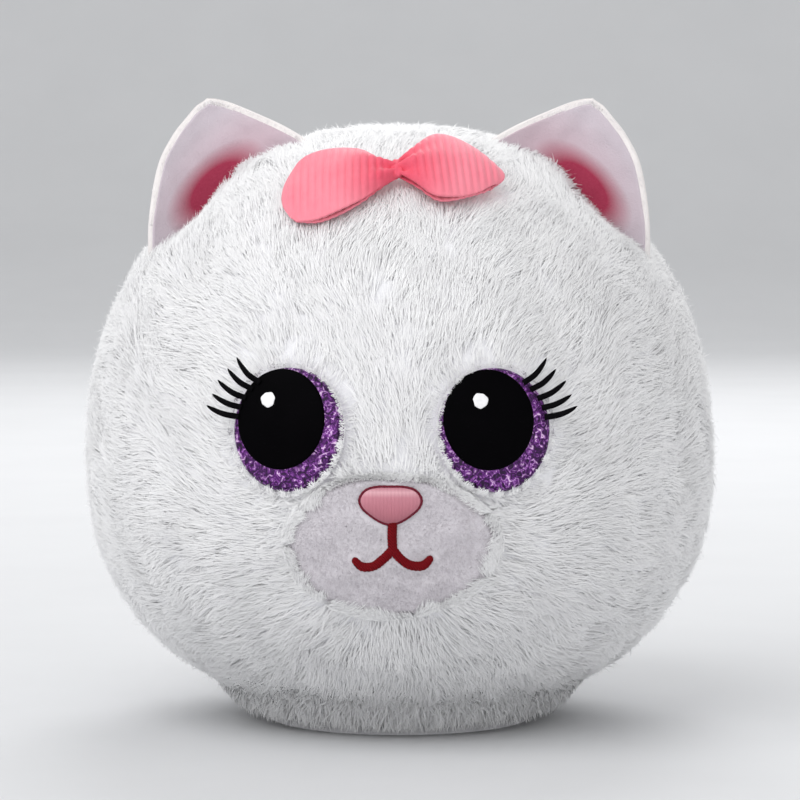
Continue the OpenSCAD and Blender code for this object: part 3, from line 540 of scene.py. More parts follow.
# Light and dark colour, size of the grain, roughness, and where they are not plain: metal, grain, stretch.
SPECKLED = {
    "washer_nylon": ((238, 238, 232), (222, 222, 214), 0.5, 0.5),
    "housing_white": ((238, 238, 241), (226, 226, 230), 0.35, 0.48),
    "screw_steel": ((196, 196, 200), (158, 158, 164), 0.3, 0.32, 1.0),
    "cell_jacket": ((58, 62, 72), (36, 40, 50), 0.8, 0.25, 0.2, 0.15),
    "contact_nickel": ((216, 210, 196), (186, 180, 164), 0.4, 0.28, 1.0),
    "switch_black": ((44, 44, 48), (28, 28, 31), 0.3, 0.5),
    "board_green": ((30, 120, 62), (16, 92, 44), 0.6, 0.35, 0.0, 0.3),
    "component_black": ((34, 34, 36), (18, 18, 20), 0.4, 0.4),
    "frame_grey": ((96, 100, 108), (78, 82, 90), 0.35, 0.5),
    "shaft_steel": ((206, 206, 210), (176, 176, 182), 0.2, 0.2, 1.0, 0.4, (0.2, 3, 3)),
    "motor_can": ((196, 196, 198), (168, 168, 172), 0.4, 0.3, 1.0, 0.4, (0.3, 2, 2)),
    "weight_iron": ((124, 122, 120), (88, 86, 86), 0.6, 0.5, 0.9, 0.8),
    "speaker_metal": ((150, 152, 158), (128, 130, 136), 0.4, 0.35, 0.8),
    "speaker_paper": ((46, 46, 48), (30, 30, 32), 0.5, 0.8, 0.0, 0.9),
    "magnet_iron": ((84, 84, 88), (62, 62, 66), 0.6, 0.55, 0.6, 0.7),
    "lead_rubber": ((176, 30, 34), (140, 18, 24), 0.6, 0.45),
}
LOOKS.update({name: speckled(name, *values) for name, values in SPECKLED.items()})
FUR_WHITES = pile_looks(
    "fur_white", (0.945, 0.945, 0.95), (0.93, 0.93, 0.94), (0.96, 0.96, 0.963), (0.91, 0.91, 0.922))
EAR_TINTS = pile_looks("ear_fuzz", (0.88, 0.86, 0.86), (0.80, 0.77, 0.79))
MUZZLE_TINTS = pile_looks("muzzle_fuzz", (0.62, 0.585, 0.62), (0.56, 0.525, 0.56), (0.68, 0.65, 0.68))


def dress_frame():
    """Every CAD node that stays in sight gets the look of its material slot."""
    for entry in frame["record"]["subparts"]:
        if entry["material_slot"] in LOOKS:
            for slot in frame["nodes"][entry["node"]].material_slots:
                slot.material = LOOKS[entry["material_slot"]]


# ---- Places on the face ----
EYE_W = 27
EYE_H = 29.2
EYE_BACK = 4
EYE_DOME_R = 60
PUPIL_W = 22
PUPIL_H = 23.7
PUPIL_SHIFTS = {-1: (-1.1, 2.4), 1: (-2.0, 2.4)}
GLINT_AT = np.array([-4.2, 6.9])
GLINT_R = 1.8
EYE_TOP = 0.6
PUPIL_TOP = 1.15
EYES = {s: Place((s * 25, -75.4, 78.8), 5.5, s * 18.4) for s in SIDES}
MUZZLE_LOW, MUZZLE_HIGH = box_mm("muzzle_patch")
MUZZLE_W, MUZZLE_H = (MUZZLE_HIGH - MUZZLE_LOW)[[0, 2]]
MUZZLE_Z = (MUZZLE_HIGH[2] + MUZZLE_LOW[2]) / 2
MUZZLE_DEPTH = 0.6
AHEAD = (0, -1, 0)


def on_face(x, z, depth):
    """The point of the front of the ball seen at x and z, sunk below the tips of the pile."""
    x, z, depth = np.broadcast_arrays(np.asarray(x, float), z, depth)
    height, n = halves(z)
    level = np.clip(np.abs(z - WAIST_Z) / (height - depth), 0, 0.999)
    r = (BALL_R - depth) * (1 - level ** n) ** (1 / n)
    return np.stack([x, -np.sqrt(np.maximum(r ** 2 - x ** 2, 0)), z], -1)


def dome(x, y, top):
    return top - EYE_DOME_R + np.sqrt(EYE_DOME_R ** 2 - x ** 2 - y ** 2)


def domed_rings(w, h, shift, top, bottom, edge, columns):
    """Rings of an oval with a low dome, its rim rounded over by edge, and a flat back."""
    a = around(columns)
    bends = np.radians(np.linspace(12, 90, 7))
    rim = 2.2 * edge / w
    flat = np.linspace(0.04, 1 - rim, 22)
    share = np.concatenate([flat, 1 - rim * (1 - np.sin(bends)), [1.0, 0.96]])[:, None]
    drop = np.concatenate([0 * flat, edge * (1 - np.cos(bends)), [0, 0]])[:, None]
    x = shift[0] + share * w / 2 * np.cos(a)
    y = shift[1] + share * h / 2 * np.sin(a)
    z = dome(x, y, top) - drop
    z[-2:] = bottom
    return np.stack([x, y, z], -1)


def make_eye(side):
    name = SIDE_NAMES[side]
    place = EYES[side]
    rings = domed_rings(EYE_W, EYE_H, (0, 0), EYE_TOP, -EYE_BACK, 1.1, 160)
    crinkle = ripple(rings, 31 + side, 2.2) * 0.07 + ripple(rings, 41 + side, 1.1) * 0.035
    rings[:-2, :, 2] += crinkle[:-2]
    verts, faces = capped_rings(rings)
    new_piece(f"{name}_eye_disc", place.out(verts), faces, "eye_purple", f"{name}_eye")

    rings = domed_rings(PUPIL_W, PUPIL_H, PUPIL_SHIFTS[side], PUPIL_TOP, -1.0, 0.5, 128)
    verts, faces = capped_rings(rings)
    new_piece(f"{name}_pupil_dome", place.out(verts), faces, "eye_black", f"{name}_pupil")

    a = around(48)
    wobble = GLINT_R * (1 + 0.05 * np.sin(3 * a + side) + 0.03 * np.sin(7 * a))
    rings = []
    for share, rise in ((0.05, 0.2), (0.5, 0.19), (0.85, 0.16), (0.96, 0.1), (1.0, 0.0), (1.0, -0.5)):
        x = GLINT_AT[0] + share * wobble * np.cos(a)
        y = GLINT_AT[1] + share * wobble * np.sin(a)
        rings.append(np.stack([x, y, dome(x, y, PUPIL_TOP) + rise], -1))
    verts, faces = capped_rings(rings)
    new_piece(f"{name}_glint_dot", place.out(verts), faces, "eye_white", f"{name}_eye_glint")

    # The shank that holds the eye to its washer inside the ball: radius and height of each ring.
    shank = ((3.2, -3.5), (2.5, -5), (2.4, -8), (2.4, -12.6), (2.0, -13.4), (1.2, -13.6))
    verts, faces = capped_rings([spun(r, around(28), z) for r, z in shank])
    new_piece(f"{name}_eye_shank", place.out(verts), faces, "washer_nylon")


# ---- Lashes ----
LASH_R = 0.7
LASH_BEND = 16
LASH_ANGLES = (12, 22, 33, 45, 56)
LASH_LENGTHS = (6, 5.5, 5.8, 5.5, 5.9)
LASH_Z = 1.4


def lash_path(angle, length):
    a = math.radians(angle)
    root = np.array([(EYE_W / 2 - 1.5) * math.cos(a), (EYE_H / 2 - 1.5) * math.sin(a)])
    start = math.radians(0.68 * angle - 4.5)
    t = np.linspace(0, (length + 2.0) / LASH_BEND, 22)
    middle = root + LASH_BEND * np.array([-math.sin(start), math.cos(start)])
    x = middle[0] + LASH_BEND * np.sin(start + t)
    y = middle[1] - LASH_BEND * np.cos(start + t)
    z = LASH_Z - 1.5 + 2.0 * smooth(t / t[-1], 0, 0.4)
    return np.stack([x, y, z], -1)


def lash(angle, length):
    path = lash_path(angle, length)
    t = np.linspace(0, 1, len(path))
    radii = LASH_R * np.clip(1.1 - 0.3 * t - 0.5 * t ** 5, 0.1, 1) * np.sqrt(1.02 - t ** 12)
    return capped_rings(sweep(path, radii, 10, 0.6))


def make_lashes(side):
    name = SIDE_NAMES[side]
    verts, faces = joined(map(lash, LASH_ANGLES, LASH_LENGTHS))
    verts = EYES[side].out(verts * [side, 1, 1])
    new_piece(f"{name}_lash_hairs", verts, faces, "lash_black", f"{name}_lashes")


# ---- Muzzle, nose and mouth ----
def muzzle_edge(a):
    """How far the patch's edge stands off its oval in each direction."""
    return 1 + 0.012 * np.sin(3 * a + 1) + 0.01 * np.sin(7 * a) + 0.02 * np.sin(2 * a + 1.5)


def muzzle_spot(share, a):
    """X and Z of points of the patch: its middle is at share 0 and its edge at 1."""
    reach = muzzle_edge(a)
    return share * MUZZLE_W / 2 * reach * np.cos(a), MUZZLE_Z + share * MUZZLE_H / 2 * reach * np.sin(a)


def muzzle_folds(p):
    return 0.22 * ripple(p, 51, 11) + 0.1 * ripple(p, 52, 4)


def make_muzzle():
    a = around(160)
    rows = []
    for share in np.concatenate([np.linspace(0.02, 0.94, 40), [0.97, 1.0, 1.03, 1.06]]):
        tuck = 2.4 * smooth(share, 0.95, 1.06)
        p = on_face(*muzzle_spot(share, a), MUZZLE_DEPTH + tuck)
        rows.append(p + ball_normal(p) * (muzzle_folds(p) * (1 - smooth(share, 0.9, 1)))[..., None])
    rows = np.array(rows)
    back = rows[-1][None] + [0, 1.5, 0]
    verts, faces = capped_rings(np.concatenate([rows, back]))
    piece = new_piece("muzzle_cloth", verts, faces, "muzzle_pile", "muzzle_patch")


NOSE_LOW, NOSE_HIGH = box_mm("nose_patch")
NOSE_W, NOSE_H = (NOSE_HIGH - NOSE_LOW)[[0, 2]]
NOSE_Z = (NOSE_HIGH[2] + NOSE_LOW[2]) / 2
# The right half of the outline, from the top down, in shares of the nose's size.
NOSE_HALF = [(0, 0.5), (0.22, 0.49), (0.4, 0.4), (0.5, 0.17), (0.46, -0.06),
             (0.32, -0.27), (0.15, -0.44), (0, -0.5)]


def nose_outline(columns):
    """A rounded triangle, point down, with a nearly straight top."""
    loop = NOSE_HALF + [(-x, z) for x, z in NOSE_HALF[-2:0:-1]] + [NOSE_HALF[0]]
    p = through(loop, np.linspace(0, 1, columns, endpoint=False))
    return p[:, 0] * NOSE_W, NOSE_Z + p[:, 1] * NOSE_H


def make_nose():
    x, z = nose_outline(120)
    rows = []
    for share in np.concatenate([np.linspace(0.03, 0.86, 26), [0.92, 0.96, 1.0, 1.0]]):
        px, pz = share * x, NOSE_Z + share * (z - NOSE_Z)
        proud = 1.15 * math.sqrt(max(1 - share ** 3.2, 0)) if share < 1 else -0.4
        p = on_face(px, pz, MUZZLE_DEPTH - 0.25 - proud)
        ridge = 0.05 * np.sin(px * 2 * math.pi / 0.62 + 0.8 * np.sin(pz * 1.7))
        rows.append(p + ball_normal(p) * (ridge * (share < 0.95))[..., None])
    rows.append(rows[-1] + [0, 1.2, 0])
    verts, faces = capped_rings(rows)
    new_piece("nose_satin", verts, faces, "nose_thread", "nose_patch")
    loop = on_face(1.01 * x, NOSE_Z + 1.02 * (z - NOSE_Z), MUZZLE_DEPTH - 0.35)
    loop = np.concatenate([loop, loop[:1]])
    rings = sweep(loop, 0.3 * (1 + 0.12 * np.sin(np.arange(len(loop)) * 1.9)), 10, 0.8, AHEAD)
    rings[-1] = rings[0]
    faces = grid_faces(len(rings), 10, wrap=True)
    new_piece("nose_outline_stitch", rings.reshape(-1, 3), faces, "nose_thread", look=LOOKS["nose_edge"])


MOUTH_LINE = 2.2
MOUTH_STEM = [(0.5, 57.4), (0.35, 54), (0.5, 50.6)]
MOUTH_LEFT = [(0.6, 50.9), (-1.6, 48.7), (-4, 46.9), (-6.8, 46.7), (-8.9, 48.7)]
MOUTH_RIGHT = [(0.4, 50.9), (2.3, 48.7), (4.6, 47.1), (7.6, 47), (9.7, 49.2)]


def satin_run(points, taper):
    """A raised band of thread along a line on the face, ridged across where each stitch lies."""
    t = np.linspace(0, 1, 150)
    p = through(points, t)
    path = on_face(p[:, 0], p[:, 1], MUZZLE_DEPTH - 0.25)
    stitch = 1 + 0.05 * np.sin(t * len(points) * 19)
    width = MOUTH_LINE / 2 * stitch * (1 - taper * smooth(t, 0.7, 1.0)) * np.sqrt(1.02 - t ** 30)
    return capped_rings(sweep(path, width, 14, 0.55, AHEAD))


def make_mouth():
    lines = ((MOUTH_STEM, 0.0), (MOUTH_LEFT, 0.2), (MOUTH_RIGHT, 0.2))
    verts, faces = joined(satin_run(points, taper) for points, taper in lines)
    new_piece("mouth_satin", verts, faces, "mouth_thread", "mouth_stitching")


# ---- Ears: a cupped slab of pile cloth with a rounded rim, and a lining let into its front ----
EAR_TIP = (48.5, 156.8)
EAR_MIDDLE = (44, -43, 100)
EAR_R = 34
EAR_LEAN = math.radians(6)
EAR_T = 3.6
EAR_RIM = 1.3
EAR_ROUND = 2.2
EAR_LINING_MIDDLE = np.array([44.0, 136.0])
EAR_OUTER = [(62.6, 113), (62.6, 126), (60.6, 139.5), (57, 147.4), (53.4, 152.2)]
EAR_CREST = [(51.2, 154.8), (49.2, 156.2)]
EAR_INNER = [(46, 156.6), (42.4, 155.6), (36.4, 153.2), (28, 149.4), (20.4, 144.6), (19, 141)]


def ear_point(x, z, offset):
    """A point of the cup seen at x and z, offset outwards from the middle of the slab."""
    r = EAR_R + offset
    across = np.clip((x - EAR_MIDDLE[0]) / r, -0.98, 0.98)
    depth = r * np.sqrt(1 - across ** 2)
    up = (z - EAR_MIDDLE[2] + depth * math.sin(EAR_LEAN)) / math.cos(EAR_LEAN)
    y = EAR_MIDDLE[1] + depth * math.cos(EAR_LEAN) + up * math.sin(EAR_LEAN)
    return np.stack([x, y, z], -1)


def ear_grid(rows=70, columns=56):
    """A leaf of points in X and Z between the ear's outer and inner edges, from base to tip."""
    v = (1 - np.cos(np.linspace(0, math.pi, rows))) / 2
    w = (1 - np.cos(np.linspace(0, math.pi, columns))) / 2
    outer = through(EAR_OUTER + EAR_CREST + [EAR_TIP], v)
    inner = through(EAR_INNER[::-1] + [EAR_TIP], v)
    return outer[:, None] * (1 - w)[None, :, None] + inner[:, None] * w[None, :, None]


def edge_distance(grid):
    """How far each point of a grid lies from the grid's own border."""
    border = np.concatenate([grid[0], grid[:, -1], grid[-1][::-1], grid[::-1, 0]])
    gap = np.linalg.norm(grid[:, :, None] - border[None, None], axis=-1)
    return gap.min(-1)


def rounded(gap):
    """How much of the ear's half thickness is left at a gap from its edge."""
    return np.sqrt(np.clip(1 - (1 - np.clip(gap / EAR_ROUND, 0, 1)) ** 2, 0, 1))


def make_ear(side):
    name = SIDE_NAMES[side]
    grid = ear_grid()
    gap = edge_distance(grid)
    round_over = rounded(gap)
    x, z = grid[..., 0], grid[..., 1]
    plump = 0.18 * ripple(np.stack([x, z, z * 0], -1), 61 + side, 9)
    front = ear_point(x, z, -EAR_T / 2 * round_over + plump * round_over)
    back = ear_point(x, z, EAR_T / 2 * round_over + plump * round_over)
    verts, faces = two_sided(front, back)
    cloth = new_piece(f"{name}_ear_cloth", verts * [side, 1, 1], faces, "ear_pile", f"{name}_ear_back")

    inner = grid + unit(EAR_LINING_MIDDLE - grid) * (EAR_RIM * (1 - smooth(gap, 0, 9)))[..., None]
    x, z = inner[..., 0], inner[..., 1]
    sunk = 1 - smooth(gap, 0.0, 0.7)
    lift = -EAR_T / 2 - 0.3 + 0.75 * sunk + plump
    verts, faces = two_sided(ear_point(x, z, lift), ear_point(x, z, lift + 0.5))
    lining = new_piece(f"{name}_ear_inner", verts * [side, 1, 1], faces, "ear_lining",
                       f"{name}_ear_lining", ear_lining_look(side))


# ---- Bow: two folded loops of ribbed ribbon and the turn of ribbon between them ----
BOW = Place(BOW_AT, 46, 0, 5)
BOW_RIB = 1.8
BOW_CLOTH = 0.55
BOW_SINK = 1.4
BOW_LOOPS = {
    -1: {
        "upper": [(0, 1.8), (4.2, 4.6), (9, 8.4), (15, 10), (21.5, 9.3), (25, 6.4)],
        "lower": [(0, -1.8), (4.7, -5.4), (9, -8.8), (14.5, -11.4), (20, -12.4), (25, -10.6)],
        "bulge": 3.0,
        "lift": 2.6,
    },
    1: {
        "upper": [(0, 1.6), (3.6, 5.8), (8.6, 10.8), (13.5, 11), (19, 8.2), (24.2, 3.6)],
        "lower": [(0, -1.6), (4.2, -5.2), (8.8, -9.6), (14, -9.2), (19.5, -6.4), (24, -2.2)],
        "bulge": 1.8,
        "lift": 3.4,
    },
}


def bow_sheet(side, rows, columns):
    """One ribbon: out from the knot on top, round the fold at the end, and back underneath."""
    shape = BOW_LOOPS[side]
    s = np.linspace(0, 2, rows)
    t = 1 - np.abs(1 - s)
    w = np.linspace(0, 1, columns)
    upper, lower = through(shape["upper"], t), through(shape["lower"], t)
    p = lower[:, None] * (1 - w)[None, :, None] + upper[:, None] * w[None, :, None]
    crown = 1 - (2 * w - 1) ** 2
    reach = shape["bulge"] * smooth(t, 0.25, 1)[:, None] * crown[None]
    u, v = p[..., 0] + reach, p[..., 1]
    top = 1 - smooth(s, 0.9, 1.1)[:, None]
    body = np.sin(np.pi * np.clip(t, 0, 1) ** 0.8)[:, None] * (0.1 + 0.9 * crown[None])
    pleat = 1.1 * np.exp(-u / 6) * np.sin(v / np.maximum(0.9 + 0.42 * u, 0.9) * 3.4 + side)
    under = 0.4 + 0.5 * body
    over = under + 0.75 + shape["lift"] * body
    z = under + (over - under) * top + pleat * top
    rib = 0.3 * np.sin(2 * math.pi * (u + 0.06 * v) / BOW_RIB) * smooth(u, 1.5, 5) * np.sqrt(crown[None])
    sway = 0.25 * np.sin(u * 0.32 + side + v * 0.2) * smooth(u, 4, 12)
    z = z + (rib + sway) * (2 * top - 1)
    sag = -0.012 * (u ** 2) * 0.6
    return np.stack([side * u, v, z + sag - BOW_SINK], -1)


def make_bow():
    for side in SIDES:
        name = SIDE_NAMES[side]
        grid = bow_sheet(side, 230, 44)
        normal = unit(np.cross(np.gradient(grid, axis=0), np.gradient(grid, axis=1)))
        verts, faces = two_sided(grid + normal * BOW_CLOTH / 2, grid - normal * BOW_CLOTH / 2)
        piece = new_piece(f"bow_{name}_ribbon", BOW.out(verts), faces, "bow_ribbon", f"bow_{name}_loop")
    a = around(40)
    rings = []
    for y in np.linspace(-1, 1, 30):
        swell = math.sqrt(max(1 - (abs(y) ** 3), 0.02))
        x = (1.5 + 0.2 * math.cos(y * 9)) * swell * np.cos(a) + 0.1 * np.sin(3 * a)
        z = 0.2 + 1.2 * swell * np.sin(a) + 0.1 * np.sin(5 * a + y * 4)
        rings.append(np.stack([x, np.full_like(x, 2.9 * y), z], -1))
    verts, faces = capped_rings(rings)
    new_piece("bow_wrap", BOW.out(verts), faces, "bow_ribbon", "bow_knot")


# ---- Skin under the pile, and the stuffing inside it ----
DENT_AT = (54, -13, 131)
DENT_SIZE = 13
DENT_DEEP = 4.8


def ear_dent(p):
    """How far the cloth is drawn in where the outer end of an ear is sewn on."""
    mirrored = np.abs(p * [1, 0, 0]) + p * [0, 1, 1]
    gap = np.linalg.norm(mirrored - DENT_AT, axis=-1)
    return DENT_DEEP * np.exp(-(gap / DENT_SIZE) ** 2)


SKIN_DEPTH = 2.7
SKIN_PANELS = (("front", -90, 50), ("left", 180, 40), ("right", 0, 40), ("back", 90, 50))


def make_skin():
    """Four panels of backing cloth: each a closed shell a millimetre thick."""
    t = np.linspace(-0.94, 1, 110)
    r, z = profile(t)
    for name, centre, half in SKIN_PANELS:
        a = np.radians(np.linspace(centre - half, centre + half, 2 * half // 2 + 1))
        p = spun(r[:, None], a, z[:, None])
        p[..., 2] = np.minimum(p[..., 2], CROWN_TOP - 1e-3)
        n = ball_normal(p)
        low = 1 - smooth(r, PLATE_R - 2, PLATE_R + 3)
        low = np.where(z < WAIST_Z, low, 0)[:, None]
        depth = SKIN_DEPTH * (1 - low) + 0.8 * low + 0.25 * ripple(p, 81, 14) * (1 - low) + ear_dent(p)
        outer = p - n * depth[..., None]
        inner = p - n * (depth + 1)[..., None]
        for layer, floor in ((outer, HEM_Z), (inner, HEM_Z + 0.9)):
            layer[..., 2] = np.maximum(layer[..., 2], floor)
        verts, faces = two_sided(outer, inner)
        piece = new_piece(f"skin_{name}", verts, faces, "fur", f"cover_{name}", LOOKS["skin"])


CAPSULE_ROOM = 47.2


def make_stuffing():
    """Loose fibre: lumpy outside, and hollow where the capsule and the button sit."""
    low, high = box_mm("fibre_stuffing")
    t = np.linspace(-0.9, 0.985, 70)
    r, z = profile(t)
    a = around(120)
    p = spun(r[:, None], a, z[:, None])
    outer = p - ball_normal(p) * (10.8 + 0.5 * np.abs(ripple(p, 91, 16)))[..., None]
    outer[..., 2] = np.maximum(outer[..., 2], low[2] + 0.5)
    capsule_top = box_mm("capsule_upper")[1][2]
    button_top = box_mm("pat_button")[1][2]
    wall = [
        (31, low[2] + 0.8), (39.5, 21), (45.5, 32), (CAPSULE_ROOM, 44), (CAPSULE_ROOM, 62), (44.5, 80),
        (37, 96), (26, 107), (22, capsule_top - 4), (21.5, button_top + 1.5), (1.0, high[2] - 12),
    ]
    q = through(wall, np.linspace(1, 0, 50))
    inner = spun(q[:, :1], a, q[:, 1:])
    rings = np.concatenate([outer, inner])
    faces = grid_faces(len(rings), len(a), wrap=True)
    n, columns = len(rings), len(a)
    for j in range(columns):
        k = (j + 1) % columns
        faces.append(((n - 1) * columns + j, (n - 1) * columns + k, k, j))
    piece = new_piece("stuffing_wool", rings.reshape(-1, 3), faces, "fibre", "fibre_stuffing")


# ---- Pile: tapered ribbons of fibre, grown in clumps ----
CLUMPS = 10000
STRANDS = 27
ROOT_DEPTH = 3.2
CLUMP_R = 2.3
STEPS = np.array([0.0, 0.36, 0.72, 1.0])
HALF_WIDTHS = np.array([0.1, 0.11, 0.08])
STRAND_TWIST = 0.3
MUZZLE_AT = np.array([0, -78.5, MUZZLE_Z])


def zipped(left, right, end):
    """Points down both edges of each strand and at its tip."""
    both = np.empty((len(left), 2 * left.shape[1] + 1, 3), np.float32)
    both[:, 0:-1:2] = left
    both[:, 1:-1:2] = right
    both[:, -1] = end
    return both


def ribbons(name, points, side, normals, half, looks, slot, seed):
    """Joins strands into one piece: each is a tapering ribbon that ends in a point."""
    count = len(points)
    edge = side[:, None] * half[..., None]
    verts = zipped(points[:, :-1] - edge, points[:, :-1] + edge, points[:, -1])
    shade = zipped(normals[:, :-1], normals[:, :-1], normals[:, -1])
    per = verts.shape[1]
    tris = []
    for a in range(0, per - 3, 2):
        tris += [(a, a + 1, a + 3), (a, a + 3, a + 2)]
    tris.append((per - 3, per - 2, per - 1))
    loops = (np.arange(count)[:, None, None] * per + np.array(tris)[None]).reshape(-1).astype(np.int32)
    faces = len(loops) // 3
    pick = np.random.default_rng(seed).integers(0, len(looks), count)
    mesh = bpy.data.meshes.new(name)
    mesh.vertices.add(count * per)
    mesh.vertices.foreach_set("co", verts.reshape(-1) * MM)
    mesh.loops.add(len(loops))
    mesh.loops.foreach_set("vertex_index", loops)
    mesh.polygons.add(faces)
    mesh.polygons.foreach_set("loop_start", np.arange(faces, dtype=np.int32) * 3)
    mesh.polygons.foreach_set("material_index", np.repeat(pick, len(tris)).astype(np.int32))
    mesh.polygons.foreach_set("use_smooth", np.ones(faces, bool))
    for look in looks:
        mesh.materials.append(look)
    mesh.update()
    mesh.normals_split_custom_set_from_vertices(shade.reshape(-1, 3))
    on_pet(name, mesh)


def turned(v, axis, angle):
    """v turned about a unit axis at right angles to it."""
    c, s = np.cos(angle)[..., None], np.sin(angle)[..., None]
    return v * c + np.cross(axis, v) * s


def strand_sides(points, normals, draw, twist):
    """Across each strand's ribbon and out of it, twisted at random about the strand."""
    along = unit(points[:, 2] - points[:, 0])
    across = turned(unit(np.cross(along, normals)), along, draw.normal(0, twist, len(points)))
    return across, unit(np.cross(across, along))


def lattice(count):
    """Points spread evenly over the ball, on a spiral."""
    t = np.linspace(-0.97, 1, 4000)
    r, z = profile(t)
    steps = np.hypot(np.diff(r), np.diff(z)) * (r[1:] + r[:-1])
    area = np.concatenate([[0], np.cumsum(steps)])
    at = np.interp((np.arange(count) + 0.5) / count * area[-1], area, t)
    r, z = profile(at)
    a = np.arange(count) * math.pi * (3 - math.sqrt(5))
    return spun(r, a, z)


def fur_flow(p, n):
    """The way the pile lies: out from the muzzle over the face and sides, and down the back."""
    away = p - MUZZLE_AT
    near = np.linalg.norm(away, axis=-1)
    down = np.array([0, 0, -1.0]) + n * n[..., 2:3]
    behind = smooth(p[..., 1], -30, 35)
    flow = unit(away) * (1 - behind)[..., None] + down * (0.9 * behind)[..., None]
    flow = laid(flow, n)
    swirl = (0.42 * ripple(p, 101, 30) + 0.3 * ripple(p, 102, 11)) * (0.5 + 0.5 * smooth(near, 40, 90))
    return turned(flow, n, swirl)


def eye_level(side, p):
    """1 on the edge of an eye's oval, less inside, and the points in the eye's own frame."""
    q = EYES[side].back(p)
    return np.hypot(q[..., 0] / (EYE_W / 2), q[..., 1] / (EYE_H / 2)), q


def muzzle_level(p):
    x, z = p[..., 0], p[..., 2] - MUZZLE_Z
    a = np.arctan2(z / MUZZLE_H, x / MUZZLE_W)
    return np.where(p[..., 1] < 0, np.hypot(x / (MUZZLE_W / 2), z / (MUZZLE_H / 2)) / muzzle_edge(a), 9)


def under_bow(p):
    """1 where a loop of the bow lies over the fur, 0 away from it."""
    q = BOW.back(p)
    u = np.abs(q[..., 0])
    half = np.interp(u, [0, 5, 10, 20, 26, 28], [2.5, 6, 10, 9.5, 6, 0])
    return smooth(half - np.abs(q[..., 1] + 0.8), -1.5, 1.5) * (q[..., 2] > -12)


EYE_FRONT = -20
HEM_TOP = 24
PLATE_H = 3.6


def part_pile(root, n, way, lean, tip):
    """Parts and shortens the pile round the eyes, the muzzle, the bow and the hem; over them none grows."""
    keep = root[:, 2] > 0
    for side in SIDES:
        level, q = eye_level(side, root)
        facing = q[:, 2] > EYE_FRONT
        keep &= ~((level < 1.0) & facing)
        close = (1 - smooth(level, 1.02, 1.5)) * facing
        out = unit(root - EYES[side].at)
        below = smooth(-q[:, 1] / (EYE_H / 2), 0.3, 0.9)
        part = close * (1 - 0.55 * below)
        way = unit(way * (1 - part)[:, None] + out * (1.5 * part)[:, None])
        way = laid(way, n)
        lean = lean * (1 - 0.55 * close)
        tip = tip + 0.9 * close
    patch = muzzle_level(root)
    rim = 1 - smooth(patch, 1.0, 1.25)
    press = under_bow(root)
    low = root[:, 2] < HEM_TOP
    r = np.hypot(root[:, 0], root[:, 1])
    hem = np.where(low, 1 - smooth(r, 38, 54), 0)
    keep &= (patch > 0.97) & ~(low & (r < PLATE_R + 0.8))
    lean = lean * (1 - 0.45 * rim) * (1 - 0.3 * press) * (1 - 0.35 * hem)
    tip = tip - 0.5 * rim
    return keep, way, lean, tip + (2.0 - tip) * 0.8 * press


def clear_of_face(points):
    """False for a strand that would lie across the muzzle or an eye, but for a few at its lower edge."""
    keep = muzzle_level(points[:, -1]) > 0.86
    for side in SIDES:
        for k in (2, 3):
            level, q = eye_level(side, points[:, k])
            inside = (level < 1.0) & (q[:, 2] > EYE_FRONT)
            spare = (q[:, 1] < -0.55 * EYE_H / 2) & (level > 0.93)
            keep &= ~(inside & ~spare)
    return keep


